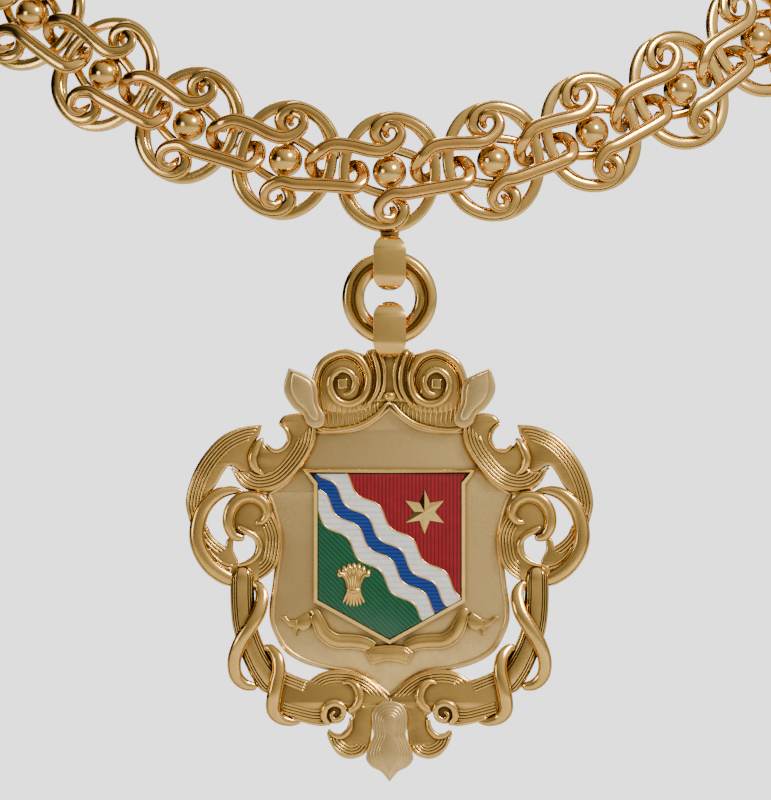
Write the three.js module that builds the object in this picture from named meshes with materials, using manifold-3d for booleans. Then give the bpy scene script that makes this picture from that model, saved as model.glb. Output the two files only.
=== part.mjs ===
// A chain of office: a closed collar of oval roundels joined by S-shaped links, a hanging ring
// and a cast scroll badge with an enamelled shield.
// Millimetres, +Z up, the front of the collar towards -Y, the origin between the shoulders.
import * as THREE from 'three';
import { mergeVertices } from 'three/addons/utils/BufferGeometryUtils.js';
import Module from 'manifold-3d';

const wasm = await Module();
wasm.setup();

// Collar
const roundelCount = 36;
const frontReach = 3; // roundels modelled one by one on each side of the middle one
const stretchCount = 15; // short stretches that hold the rest
const loopHalfWidth = 142;
const loopHalfDepth = 123.5;
const shoulderRise = 120; // from the middle roundel up to the shoulders
const napeDrop = 24; // from the shoulders down to the nape
const riseRate = 1.74; // how soon the loop reaches the shoulders
const frontLilt = 28; // the left half of the front hangs a little higher
const shoulderLean = THREE.MathUtils.degToRad(50);
const napeLean = THREE.MathUtils.degToRad(28);

// Roundel
const roundelHalfWidth = 12.3;
const roundelHalfHeight = 14.6;
const strandWidth = 2.9;
const strandDepth = 2;
const ballRadius = 4.1;

// Hanging ring and its two bails
const ringOuter = 11.4;
const ringInner = 6.1;
const ringHalfDepth = 1.4;
const ringDrop = 30.2; // below the middle roundel
const bailWidth = 7.9;
const bailHeight = 13.5;
const bailDepth = 11;
const bailWall = 1.5;
const bailEndWall = 2;
const upperBailMiddle = ringDrop - 8.5;
const lowerBailMiddle = ringDrop + 7.6;

// Badge
const badgeDrop = 89.5; // badge centre below the middle roundel
const badgeBack = -2.6; // the badge's reference plane behind the roundels' middle plane
const fieldBack = -0.9;
const fieldFront = 0.8;
const gap = 0.3;
const castBack = fieldFront + gap;
const shieldFloor = 2;
const shieldRim = 3.3;
const enamelFront = 3.1;

const gold = { color: 0xd4a24a, roughness: 0.28, metalness: 1 };
const redGold = { color: 0xc98f45, roughness: 0.32, metalness: 1 };
const paleGold = { color: 0xe0b765, roughness: 0.35, metalness: 1 };
const redEnamel = { color: 0x9c1420, roughness: 0.15, metalness: 0 };
const greenEnamel = { color: 0x14603c, roughness: 0.15, metalness: 0 };
const blueEnamel = { color: 0x1d4f9c, roughness: 0.15, metalness: 0 };
const whiteEnamel = { color: 0xeeeae0, roughness: 0.15, metalness: 0 };

// ---------------------------------------------------------------- solids

// A geometry with a closed surface becomes a solid.
function solidOf(geometry) {
  const bare = geometry.clone();
  bare.deleteAttribute('normal');
  bare.deleteAttribute('uv');
  const merged = mergeVertices(bare, 1e-4);
  return new wasm.Manifold(
    new wasm.Mesh({
      numProp: 3,
      vertProperties: new Float32Array(merged.attributes.position.array),
      triVerts: new Uint32Array(merged.index.array),
    }),
  );
}

function geometryOf(solid) {
  const mesh = solid.getMesh();
  const geometry = new THREE.BufferGeometry();
  geometry.setAttribute('position', new THREE.BufferAttribute(mesh.vertProperties.slice(), 3));
  geometry.setIndex(new THREE.BufferAttribute(mesh.triVerts.slice(), 1));
  return geometry;
}

function join(solids) {
  return solids.reduce((sum, solid) => sum.add(solid));
}

// Sections of a bar, as fractions of its half width and its height.
const house = [[-1, 0], [1, 0], [0.6, 1], [-0.6, 1]];
const slab = [[-1, -1], [1, -1], [1, 1], [-1, 1]];
const wedge = [[-1, -1], [1, -1], [0, 1]];

// A bar through sections: each has its centre, side, front, half width and height.
function barThrough(sections, profile) {
  const positions = [];
  for (const s of sections) {
    for (const [across, up] of profile) {
      const point = s.centre.clone();
      point.addScaledVector(s.side, across * s.half);
      point.addScaledVector(s.front, up * s.height);
      positions.push(point.x, point.y, point.z);
    }
  }
  const n = profile.length;
  const last = (sections.length - 1) * n;
  const index = [];
  for (let k = 0; k < last; k += n) {
    for (let j = 0; j < n; j += 1) {
      const next = (j + 1) % n;
      index.push(k + j, k + n + j, k + n + next, k + j, k + n + next, k + next);
    }
  }
  for (let j = 1; j < n - 1; j += 1) {
    index.push(0, j, j + 1, last, last + j + 1, last + j);
  }
  const geometry = new THREE.BufferGeometry();
  geometry.setAttribute('position', new THREE.Float32BufferAttribute(positions, 3));
  geometry.setIndex(index);
  return solidOf(geometry);
}

// Smooth sections along a path: rows hold a point, a half width and a height.
function sectionsAlong(rows, steps, front) {
  const path = new THREE.CatmullRomCurve3(rows.map((row) => row.point));
  const sizes = new THREE.CatmullRomCurve3(rows.map((row) => new THREE.Vector3(row.half, row.height, 0)));
  const sections = [];
  for (let k = 0; k <= steps; k += 1) {
    const t = k / steps;
    const size = sizes.getPoint(t);
    const side = path.getTangent(t).cross(front).normalize();
    sections.push({ centre: path.getPoint(t), side, front, half: size.x, height: size.y });
  }
  return sections;
}

const towardsViewer = new THREE.Vector3(0, 0, 1);

// A raised scroll on the badge. Columns: x, z, half width, height; mirrored with side = -1.
function scroll(rows, steps, side = 1, base = castBack) {
  const placed = rows.map(([x, z, half, height]) => ({
    point: new THREE.Vector3(side * x, z, base), half, height,
  }));
  return barThrough(sectionsAlong(placed, steps, towardsViewer), house);
}

// A flat plate from an outline of x, z points, between two depths.
function plate(outline, back, front) {
  const shape = new THREE.Shape(outline.map(([x, z]) => new THREE.Vector2(x, z)));
  const geometry = new THREE.ExtrudeGeometry(shape, { depth: front - back, bevelEnabled: false });
  return solidOf(geometry.translate(0, 0, back));
}

const mirrored = (outline) => outline.map(([x, z]) => [-x, z]);
const bothSides = (outline) => [...outline, ...mirrored(outline).reverse().filter(([x]) => x !== 0)];

function makeMesh(name, solid, finish) {
  const mesh = new THREE.Mesh(geometryOf(solid), new THREE.MeshStandardMaterial(finish));
  mesh.name = name;
  return mesh;
}

// ---------------------------------------------------------------- collar route

// The collar as worn: low in front, up over the shoulders and a little lower at the nape.
class CollarRoute extends THREE.Curve {
  getPoint(t, target = new THREE.Vector3()) {
    const angle = 2 * Math.PI * (t < 0.5 ? t : t - 1);
    const away = Math.abs(angle);
    const lilt = away < Math.PI / 2 ? frontLilt * Math.sin(angle) ** 3 * Math.cos(angle) ** 2 : 0;
    const x = loopHalfWidth * Math.sin(angle);
    const y = -loopHalfDepth * Math.cos(angle);
    return target.set(x, y, blend(away, -shoulderRise, 0, -napeDrop) - lilt);
  }
}

// A value at the front, at the shoulders and at the nape, with smooth change between them.
function blend(away, front, shoulder, nape) {
  const crest = Math.PI / riseRate;
  if (away < crest) return front + (shoulder - front) * (1 - Math.cos(riseRate * away)) / 2;
  const past = (away - crest) / (Math.PI - crest);
  return shoulder + (nape - shoulder) * (1 - Math.cos(Math.PI * past)) / 2;
}

const route = new CollarRoute();
route.arcLengthDivisions = 2000;

const wrap = (i) => (i + roundelCount) % roundelCount;
const roundelPlace = (i) => route.getPointAt(wrap(i) / roundelCount);

// The frame of roundel i: u along the collar, v up its face, w out of its face.
function roundelFrame(i) {
  const origin = roundelPlace(i);
  let u = roundelPlace(i + 1).sub(roundelPlace(i - 1)).normalize();
  if (i === 0) u = new THREE.Vector3(1, 0, 0);
  const level = u.clone().cross(new THREE.Vector3(0, 0, 1)).normalize();
  const away = 2 * Math.PI * Math.min(wrap(i), roundelCount - wrap(i)) / roundelCount;
  const lean = blend(away, 0, shoulderLean, napeLean);
  const w = level.multiplyScalar(Math.cos(lean));
  w.z += Math.sin(lean);
  w.addScaledVector(u, -w.dot(u)).normalize();
  return frameFrom(origin, u, w);
}

function frameFrom(origin, u, w) {
  const v = w.clone().cross(u);
  return { origin, u, v, w, matrix: new THREE.Matrix4().makeBasis(u, v, w).setPosition(origin) };
}

// The frame halfway between two roundels.
function jointFrame(left, right) {
  const origin = left.origin.clone().add(right.origin).multiplyScalar(0.5);
  const u = right.origin.clone().sub(left.origin).normalize();
  const w = left.w.clone().add(right.w);
  w.addScaledVector(u, -w.dot(u)).normalize();
  return frameFrom(origin, u, w);
}

const placeSolid = (solid, matrix) => solid.transform(matrix.elements);

// ---------------------------------------------------------------- roundels and S-links

// The oval back ring of a roundel.
function ovalRing(segments, profile) {
  const positions = [];
  const index = [];
  const n = profile.length;
  const half = strandWidth / 2;
  for (let k = 0; k < segments; k += 1) {
    const angle = 2 * Math.PI * k / segments;
    for (const [across, up] of profile) {
      const reachU = roundelHalfWidth - half + across * half;
      const reachV = roundelHalfHeight - half + across * half;
      positions.push(reachU * Math.cos(angle), reachV * Math.sin(angle), up * strandDepth / 2);
      const j = positions.length / 3 - 1;
      const side = j - k * n;
      const next = k * n + (side + 1) % n;
      const far = (p) => (p + n) % (segments * n);
      index.push(j, far(j), far(next), j, far(next), next);
    }
  }
  const geometry = new THREE.BufferGeometry();
  geometry.setAttribute('position', new THREE.Float32BufferAttribute(positions, 3));
  geometry.setIndex(index);
  return solidOf(geometry);
}

// The front loop of a roundel, from its side over the top, round a curl and back as a short bar.
// Columns: u, v, w, half width, half depth.
const loopRows = [
  [10.6, 5.2, 0.2, 1.3, 0.9],
  [8.6, 9.0, 0.6, 1.45, 1.0],
  [5.6, 11.8, 0.8, 1.45, 1.1],
  [2.2, 13.1, 0.9, 1.4, 1.1],
  [-1.4, 12.7, 1.0, 1.3, 1.0],
  [-3.5, 11.0, 1.0, 1.2, 1.0],
  [-3.9, 9.0, 0.9, 1.1, 0.9],
  [-2.4, 6.9, 0.6, 1.0, 0.8],
  [0.6, 5.5, 0.1, 1.0, 0.8],
  [4.4, 5.0, 0.0, 1.0, 0.8],
  [9.6, 4.8, 0.0, 1.0, 0.8],
];

function frontLoop(turned, steps) {
  const way = turned ? -1 : 1;
  const rows = loopRows.map(([u, v, w, half, height]) => ({
    point: new THREE.Vector3(way * u, way * v, w), half, height,
  }));
  return barThrough(sectionsAlong(rows, steps, towardsViewer), slab);
}

function ballOnSeat(across, around) {
  const ball = new THREE.SphereGeometry(ballRadius, across, around);
  const seat = new THREE.BoxGeometry(2, 11.4, 1).translate(0, 0, -0.5);
  return solidOf(ball.rotateX(Math.PI / 2).translate(0, 0, 0.8)).add(solidOf(seat));
}

function fullRoundel() {
  return join([ovalRing(12, slab), frontLoop(false, 6), frontLoop(true, 6), ballOnSeat(6, 4)]);
}

// An S-link hooks round the side strand of one roundel and dives behind the loop of the next.
// Rows are given in the near roundel's frame, in the frame halfway, and in the far roundel's.
// Columns: u, v, w, half width, half depth.
const hookRows = [
  [11.2, -1.0, -2.9, 1.0, 0.75],
  [8.1, -1.2, -2.8, 1.2, 0.8],
  [6.3, 0.5, 0.5, 1.3, 0.9],
  [7.6, 3.2, 3.7, 1.7, 1.0],
];
const spanRows = [
  [-2.2, 4.7, 4.4, 1.75, 1.1],
  [3.0, 5.3, 4.5, 1.75, 1.1],
];
const diveRows = [
  [-4.4, 5.4, 4.3, 1.75, 1.1],
  [-1.0, 6.5, 4.0, 1.7, 1.0],
  [0.9, 8.0, 2.5, 1.5, 0.9],
  [1.3, 9.3, -0.5, 1.3, 0.8],
  [1.3, 11.2, -3.0, 1.1, 0.75],
  [1.3, 12.7, -3.1, 0.9, 0.7],
];

// The lower link of each pair is the upper one turned half round, so it runs from right to left.
function sLink(left, right, lower, steps, profile) {
  const halfway = jointFrame(left, right);
  const way = lower ? -1 : 1;
  const near = lower ? right : left;
  const far = lower ? left : right;
  const rows = [];
  for (const [frame, table] of [[near, hookRows], [halfway, spanRows], [far, diveRows]]) {
    for (const [u, v, w, half, height] of table) {
      const point = new THREE.Vector3(way * u, way * v, w).applyMatrix4(frame.matrix);
      rows.push({ point, half, height });
    }
  }
  return barThrough(sectionsAlong(rows, steps, halfway.w), profile);
}

// Far stretches have plainer pieces: straight links laid over pierced oval plates. An end is sunk
// into its roundel, or stands clear of one that belongs to another piece.
// Columns: u, v, half width, and w when sunk.
const plainNearEnd = [7.6, 2.6, 1.5, 1.3];
const plainFarEnd = [0.4, 8.6, 1.5, 0.7];
const plainHalfDepth = 1.1;
const clearHeight = 3.6;
const crestHeight = 4.8; // where a raised link passes over the edges of two bent roundels

function plainLink(left, right, lower, leftClear, rightClear) {
  const halfway = jointFrame(left, right);
  const way = lower ? -1 : 1;
  const near = lower ? right : left;
  const far = lower ? left : right;
  const ends = [
    [near, plainNearEnd, lower ? rightClear : leftClear],
    [far, plainFarEnd, lower ? leftClear : rightClear],
  ];
  const rows = ends.map(([frame, [u, v, half, sunk], clear]) => {
    const point = new THREE.Vector3(way * u, way * v, clear ? clearHeight : sunk);
    return { point: point.applyMatrix4(frame.matrix), half, height: plainHalfDepth };
  });
  if (leftClear || rightClear) {
    const crest = new THREE.Vector3(way * 0.4, way * 4.8, crestHeight).applyMatrix4(halfway.matrix);
    rows.splice(1, 0, { point: crest, half: plainNearEnd[2], height: plainHalfDepth });
  }
  return barThrough(sectionsAlong(rows, rows.length - 1, halfway.w), wedge);
}

// A quarter-turned oval's corner points, as a closed path.
function ovalPath(halfWidth, halfHeight, sides) {
  const points = [];
  for (let k = 0; k < sides; k += 1) {
    const angle = 2 * Math.PI * (k + 0.5) / sides;
    points.push(new THREE.Vector2(halfWidth * Math.cos(angle), halfHeight * Math.sin(angle)));
  }
  return points;
}

function plainRoundel() {
  const shape = new THREE.Shape(ovalPath(roundelHalfWidth, roundelHalfHeight, 8));
  for (const way of [1, -1]) {
    const corners = [[-7.4, 4.4], [7.4, 4.4], [3.8, 10.8], [-3.8, 10.8]];
    shape.holes.push(new THREE.Path(corners.map(([u, v]) => new THREE.Vector2(u, way * v))));
  }
  const pierced = new THREE.ExtrudeGeometry(shape, { depth: strandDepth, bevelEnabled: false });
  const ball = new THREE.ConeGeometry(ballRadius, ballRadius, 4).rotateX(Math.PI / 2);
  ball.translate(0, 0, ballRadius / 2 + 0.4);
  return solidOf(pierced.translate(0, 0, -strandDepth / 2)).add(solidOf(ball));
}

// ---------------------------------------------------------------- ring and bails

function roundedCornerBlock(width, height, depth, radius) {
  const shape = new THREE.Shape();
  const halfW = width / 2;
  const halfH = height / 2;
  shape.moveTo(halfW, -halfH + radius);
  shape.lineTo(halfW, halfH - radius);
  shape.absarc(halfW - radius, halfH - radius, radius, 0, Math.PI / 2, false);
  shape.absarc(-halfW + radius, halfH - radius, radius, Math.PI / 2, Math.PI, false);
  shape.absarc(-halfW + radius, -halfH + radius, radius, Math.PI, 1.5 * Math.PI, false);
  shape.absarc(halfW - radius, -halfH + radius, radius, 1.5 * Math.PI, 2 * Math.PI, false);
  const geometry = new THREE.ExtrudeGeometry(shape, { depth, bevelEnabled: false, curveSegments: 2 });
  return solidOf(geometry.translate(0, 0, -depth / 2));
}

// A bail is a broad band bent to a closed oval loop, seen from the front as an upright slab.
function bail() {
  const shape = new THREE.Shape();
  shape.absellipse(0, 0, bailDepth / 2, bailHeight / 2, 0, 2 * Math.PI, false);
  const hole = new THREE.Path();
  const innerHalfDepth = bailDepth / 2 - bailWall;
  const innerHalfHeight = bailHeight / 2 - bailEndWall;
  hole.absellipse(0, 0, innerHalfDepth, innerHalfHeight, 0, 2 * Math.PI, true);
  shape.holes.push(hole);
  const band = new THREE.ExtrudeGeometry(shape, { depth: bailWidth, bevelEnabled: false, curveSegments: 9 });
  band.translate(0, 0, -bailWidth / 2).rotateY(Math.PI / 2);
  const trim = roundedCornerBlock(bailWidth, bailHeight, 2 * bailDepth, 3.2);
  return solidOf(band).intersect(trim);
}

// The seat that the upper bail is soldered to, under the middle roundel's rim.
function solderSeat() {
  return solidOf(new THREE.BoxGeometry(4.4, 2.5, 1.5));
}

function hangingRing() {
  const profile = [
    [ringInner, 0], [ringInner + 1.6, -ringHalfDepth], [ringOuter - 1.4, -ringHalfDepth],
    [ringOuter, 0], [ringOuter - 1.4, ringHalfDepth], [ringInner + 1.6, ringHalfDepth],
    [ringInner, 0],
  ];
  const points = profile.map(([r, y]) => new THREE.Vector2(r, y));
  return solidOf(new THREE.LatheGeometry(points, 22).rotateX(Math.PI / 2));
}

// ---------------------------------------------------------------- badge

// Outlines on the badge's right half, x from its middle line, z up from its centre.
const fieldOutline = [
  [0, 34.0], [6.4, 29.3], [14.4, 28.2], [18.6, 28.8], [19.6, 24.2], [22.6, 19.4], [25.6, 15.8],
  [29.4, 12.6], [28.0, 10.5], [26.6, 6], [25.6, 2], [25.6, -1], [26.4, -5], [28.0, -10],
  [28.8, -14], [28.8, -18], [27.6, -21.6], [25.2, -25.6], [20.8, -28.4], [14.6, -30.2],
  [9.6, -31.2], [5.4, -33.2], [2.4, -35.2], [0, -37.4],
];
const browOutline = [
  [0, 34.3], [3, 31.2], [6.4, 28.7], [10.4, 27.5], [14.4, 27.2], [18.2, 28.2], [18.2, 34], [10, 36], [0, 36],
];
const upperScrollOutline = [
  [17.5, 28.1], [18.2, 23.8], [21.4, 18.5], [26.2, 13.9], [31.7, 12.8], [35.6, 14.4], [38.2, 19.0],
  [35.2, 17.6], [33.4, 18.4], [33.9, 21.5], [32.6, 24.6], [30.7, 25.6], [29.3, 23.6], [27.5, 22.9],
  [25.6, 23.6], [24.3, 25.8], [25.0, 28.0], [26.5, 29.5], [25.2, 31.0], [22.6, 31.4], [18.4, 31.2],
];
const outerLeafOutline = [
  [30.8, 28.6], [35.0, 28.3], [39.6, 26.2], [43.2, 23.2], [46.2, 18.6], [48.3, 13.6], [48.9, 9.4],
  [47.8, 5.3], [46.0, 8.5], [43.6, 12.0], [41.7, 14.2], [39.9, 17.3], [38.2, 19.0], [35.2, 17.2],
  [33.0, 17.9], [33.6, 21.5], [32.3, 24.6], [31.2, 26.4],
];
const lobeOutline = [
  [32.6, -9.2], [28.9, -7.0], [26.7, -4.0], [25.9, 0], [26.1, 3], [27.0, 5.6], [28.4, 8.4],
  [30.5, 10.8], [29.0, 12.6], [31.6, 13.4], [36.0, 11.6], [37.4, 8.6], [38.4, 4.4], [36.6, 2.2],
  [33.6, 2.4], [32.4, 0.8], [32.4, -1.4], [33.4, -3.0], [35.6, -4.2], [38.2, -4.8], [39.4, -9.0],
];
const footOutline = [
  [26.6, -29.6], [22.5, -31.6], [19.4, -32.4], [16.4, -30.6], [12.4, -30.0], [7.4, -30.8],
  [3.4, -33.4], [0, -37.0], [0, -41.0], [3.6, -46.0], [6.0, -47.4], [9.4, -44.6], [10.2, -42.0],
  [10.6, -39.8], [12.8, -38.6], [14.6, -39.6], [14.2, -42.4], [16.0, -43.2], [21.5, -42.0], [26.4, -39.6],
];
const leafBudOutline = [
  [24.4, 42.5], [25.4, 38.0], [24.9, 35.0], [23.2, 33.3], [21.2, 32.2], [20.2, 30.2], [18.6, 28.4],
  [16.6, 28.9], [15.9, 31.0], [17.0, 34.0], [17.4, 37.0], [18.2, 39.2], [20.6, 40.9],
];
const dropBudOutline = [
  [0, -37.4], [2.6, -38.2], [4.2, -40.6], [4.3, -43.5], [4.9, -46.0], [5.6, -49.0], [5.7, -51.6],
  [4.8, -53.0], [2.6, -54.3], [1.0, -56.0], [0, -56.8],
];

// Raised scrolls on the right half. Columns: x, z, half width, height over the cast back.
const sideScroll = [
  [35.0, 12.4, 0.9, 2.4], [38.9, 13.0, 1.5, 2.9], [42.9, 10.8, 1.9, 3.1], [45.6, 7.0, 1.9, 3.1],
  [46.4, 2.0, 1.9, 3.1], [45.6, -2.8, 1.9, 3.1], [42.9, -6.5, 1.9, 3.0], [38.4, -8.9, 1.7, 2.6],
];
const clawScroll = [
  [45.0, 2.2, 2.2, 1.6], [41.5, -0.8, 1.8, 1.8], [38.8, -2.7, 1.3, 2.2], [36.0, -4.4, 0.7, 2.4],
];
const commaScroll = [
  [32.7, 5.6, 0.5, 3.2], [30.8, 5.7, 0.7, 3.6], [29.6, 7.4, 0.9, 3.9], [30.2, 9.8, 1.0, 4.0],
  [32.6, 11.2, 1.1, 4.0], [35.7, 10.8, 1.2, 4.0], [38.0, 8.4, 1.3, 3.9], [38.5, 5.0, 1.3, 3.8],
  [37.2, 2.4, 1.1, 3.4], [34.8, 2.0, 0.7, 3.0],
];
const strapScroll = [
  [35.9, -6.0, 2.9, 2.6], [35.5, -13.0, 2.9, 3.0], [34.9, -19.5, 2.9, 3.0], [33.0, -25.5, 3.0, 3.0],
  [30.4, -30.5, 3.3, 3.0], [26.6, -34.8, 4.2, 2.8], [21.6, -37.4, 4.6, 2.6],
];
const upperWrap = [
  [30.7, -9.8, 1.3, 2.2], [30.3, -13.5, 1.5, 3.2], [31.4, -17.2, 1.6, 4.2], [33.9, -20.5, 1.6, 4.6],
  [36.1, -23.6, 1.5, 4.2], [37.2, -27.5, 1.5, 3.2], [36.4, -31.2, 1.5, 2.8], [33.6, -33.6, 1.3, 2.4],
];
const lowerWrap = [
  [28.4, -24.8, 1.2, 3.2], [26.7, -27.5, 1.4, 4.0], [26.7, -31.0, 1.5, 4.4], [27.9, -34.6, 1.5, 4.4],
  [28.6, -38.2, 1.5, 3.6], [27.2, -41.2, 1.3, 2.8], [23.9, -42.2, 0.8, 2.2],
];
const footLeaf = [
  [4.6, -44.0, 2.0, 2.4], [7.4, -47.4, 2.8, 2.8], [10.4, -48.6, 2.7, 2.8], [13.0, -47.6, 1.9, 2.4],
  [14.7, -44.9, 0.3, 1.6],
];

const voluteCentre = new THREE.Vector2(10.7, 38.9);
const voluteRadius = 7.5;
const voluteTurns = 1.6;

// The volute: a low round boss with a spiral ridge that closes in on its eye.
function volute(side) {
  const boss = new THREE.CylinderGeometry(voluteRadius - 0.6, voluteRadius, 2.2, 14).rotateX(Math.PI / 2);
  boss.translate(side * voluteCentre.x, voluteCentre.y, castBack + 1.1);
  const rows = [];
  const count = 15;
  for (let k = 0; k < count; k += 1) {
    const part = k / (count - 1);
    const angle = THREE.MathUtils.degToRad(120) + part * voluteTurns * 2 * Math.PI;
    const reach = THREE.MathUtils.lerp(6.3, 1.9, part);
    const x = voluteCentre.x + reach * Math.cos(angle);
    rows.push([x, voluteCentre.y + reach * Math.sin(angle), THREE.MathUtils.lerp(0.9, 0.7, part), 3.6]);
  }
  return solidOf(boss).add(scroll(rows, 16, side));
}

// The moulded stem between the volutes, which the lower bail is soldered to.
function stem() {
  const halfOutline = [[0, 34.4], [6, 34.4], [6, 45.8], [2.6, 47.2], [0, 47.2]];
  const parts = [plate(bothSides(halfOutline), castBack, castBack + 1.8)];
  for (const [x, half, height] of [[0, 1.6, 3.0], [4.6, 1.0, 3.2], [-4.6, 1.0, 3.2]]) {
    parts.push(scroll([[x, 34.8, half, height], [x * 0.8, 40.4, half, height - 0.5], [x, 46, half, height]], 3));
  }
  return parts;
}

function castFrame() {
  const parts = stem();
  for (const side of [1, -1]) {
    const turn = (outline) => (side === 1 ? outline : mirrored(outline));
    parts.push(plate(turn(browOutline), castBack, castBack + 1.4));
    parts.push(plate(turn(upperScrollOutline), castBack, castBack + 2.4));
    parts.push(plate(turn(outerLeafOutline), castBack, castBack + 1.9));
    parts.push(plate(turn(lobeOutline), castBack, castBack + 2.2));
    parts.push(plate(turn(footOutline), castBack, castBack + 1.7));
    parts.push(volute(side));
    parts.push(scroll(sideScroll, 7, side));
    parts.push(scroll(clawScroll, 2, side));
    parts.push(scroll(commaScroll, 8, side));
    parts.push(scroll(strapScroll, 5, side));
    parts.push(scroll(upperWrap, 6, side));
    parts.push(scroll(lowerWrap, 6, side));
    parts.push(scroll(footLeaf, 4, side));
  }
  return join(parts);
}

// ---------------------------------------------------------------- shield

const shieldOutline = [[0, 18.2], [20.9, 18.2], [18.2, 14.6], [18.2, -13.7], [0, -23.8]];
const enamelOutline = [[0, 17.1], [18.4, 17.1], [17.1, 14.9], [17.1, -13.1], [0, -22.5]];

// The wavy bend crosses the shield from its upper left to its lower right.
function wavyLine(offset) {
  const points = [];
  const count = 12;
  for (let k = 0; k <= count; k += 1) {
    const along = THREE.MathUtils.lerp(-34, 34, k / count);
    const across = offset + 0.9 * Math.sin(k * Math.PI / 2 + Math.PI / 4);
    const cos = Math.SQRT1_2;
    points.push([along * cos + across * cos, -2 - along * cos + across * cos]);
  }
  return points;
}

function bandBetween(low, high) {
  const outline = [...wavyLine(low), ...wavyLine(high).reverse()];
  return plate(outline, shieldFloor - 1, enamelFront + 1);
}

function shieldPieces() {
  const tray = plate(bothSides(shieldOutline), castBack, shieldRim);
  const recess = plate(bothSides(enamelOutline), shieldFloor, shieldRim + 1);
  const cells = scaledOutline(bothSides(enamelOutline), -gap);
  const whole = plate(cells, shieldFloor + gap, enamelFront);
  const slice = (low, high) => whole.intersect(bandBetween(low, high));
  return [
    ['shield_tray', tray.subtract(recess), gold],
    ['enamel_red', slice(5.4 + gap, 45), redEnamel],
    ['enamel_bend_upper', slice(1.9, 5.4), whiteEnamel],
    ['enamel_bend_middle', slice(-1.8 + gap, 1.9 - gap), blueEnamel],
    ['enamel_bend_lower', slice(-5.4, -1.8), whiteEnamel],
    ['enamel_green', slice(-45, -5.4 - gap), greenEnamel],
  ];
}

// Moves each corner of an outline about its middle by a small amount.
function scaledOutline(outline, amount) {
  return outline.map(([x, z]) => [x + Math.sign(x) * amount, z + Math.sign(z) * amount]);
}

function star(points, outer, inner, x, z) {
  const outline = [];
  for (let k = 0; k < 2 * points; k += 1) {
    const reach = k % 2 ? inner : outer;
    const angle = Math.PI / 2 + k * Math.PI / points;
    outline.push([x + reach * Math.cos(angle), z + reach * Math.sin(angle)]);
  }
  return plate(outline, enamelFront + gap, enamelFront + 1.3);
}

// A plain sheaf: a tied waist with a spread head and foot.
const sheafOutline = [
  [0, 5.6], [2.0, 5.0], [3.6, 3.4], [3.4, 1.6], [1.5, -0.6], [1.5, -1.6], [2.8, -4.6], [0, -5.4],
];

function sheaf(x, z) {
  const outline = bothSides(sheafOutline).map(([a, b]) => [a + x, b + z]);
  return plate(outline, enamelFront + gap, enamelFront + 1.3);
}

// The blank ribbon below the shield. Columns: x, z, half width, height.
const ribbonRows = [
  [19.0, -16.2, 1.0, 1.2], [17.4, -19.2, 1.4, 1.2], [14.8, -22.0, 1.5, 1.2], [11.0, -23.3, 1.4, 1.2],
  [6.8, -23.8, 1.4, 1.0], [3.4, -25.6, 1.5, 1.2], [0, -26.9, 1.7, 1.2],
];
const ribbonTail = [
  [18.6, -17.0, 1.0, 0.9], [21.0, -17.9, 1.3, 0.9], [23.4, -19.0, 1.0, 0.9], [26.2, -18.0, 0.4, 0.9],
];

function ribbon() {
  const sides = [1, -1].flatMap((side) => [
    scroll(ribbonRows, 6, side),
    scroll(ribbonTail, 3, side),
  ]);
  const middle = plate([[-4.8, -25.2], [4.8, -25.2], [4.2, -28.6], [-4.2, -28.6]], castBack, castBack + 1.2);
  return join([...sides, middle]);
}

// ---------------------------------------------------------------- assembly

const frames = Array.from({ length: roundelCount }, (_, i) => roundelFrame(i));
const frameAt = (i) => frames[wrap(i)];
const sideName = (i) => (i < 0 ? `left_${-i}` : `right_${i}`);

const collar = new THREE.Group();
const roundel = fullRoundel();

// Turns a solid drawn in the front view to stand in the collar, at a drop below the middle roundel.
const middleFrame = frameAt(0);
function atDrop(solid, drop, depth = 0) {
  const place = new THREE.Matrix4().makeTranslation(0, -drop, depth);
  return placeSolid(solid, middleFrame.matrix.clone().multiply(place));
}

const upperBail = atDrop(bail(), upperBailMiddle).add(atDrop(solderSeat(), roundelHalfHeight));
const middleRoundel = placeSolid(roundel, middleFrame.matrix).add(upperBail);
collar.add(makeMesh('middle_roundel_with_bail', middleRoundel, gold));

for (let i = -frontReach; i <= frontReach; i += 1) {
  if (i !== 0) {
    collar.add(makeMesh(`roundel_${sideName(i)}`, placeSolid(roundel, frameAt(i).matrix), gold));
  }
}

for (let i = -frontReach; i < frontReach; i += 1) {
  const joint = i < 0 ? `left_${-i}` : `right_${i + 1}`;
  for (const lower of [false, true]) {
    const link = sLink(frameAt(i), frameAt(i + 1), lower, 7, slab);
    collar.add(makeMesh(`s_link_${joint}_${lower ? 'lower' : 'upper'}`, link, redGold));
  }
}

// The rest of the collar, in short stretches that run on from the right of the front. Each has
// the links on its left, and the last has those on its right too.
const plain = plainRoundel();
const restStart = frontReach + 1;
const restEnd = roundelCount - frontReach;
const stretchStart = (k) => restStart + Math.round(k * (restEnd - restStart) / stretchCount);
for (let k = 0; k < stretchCount; k += 1) {
  const first = stretchStart(k);
  const end = stretchStart(k + 1);
  const parts = [];
  for (let i = first; i < end; i += 1) {
    parts.push(placeSolid(plain, frameAt(i).matrix));
    parts.push(plainLink(frameAt(i - 1), frameAt(i), false, i === first, false));
    parts.push(plainLink(frameAt(i - 1), frameAt(i), true, true, false));
  }
  if (end === restEnd) {
    parts.push(plainLink(frameAt(end - 1), frameAt(end), false, false, true));
    parts.push(plainLink(frameAt(end - 1), frameAt(end), true, false, true));
  }
  collar.add(makeMesh(`collar_stretch_${k + 1}`, join(parts), gold));
}

const pendant = new THREE.Group();
pendant.add(makeMesh('hanging_ring', atDrop(hangingRing(), ringDrop), gold));

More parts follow.
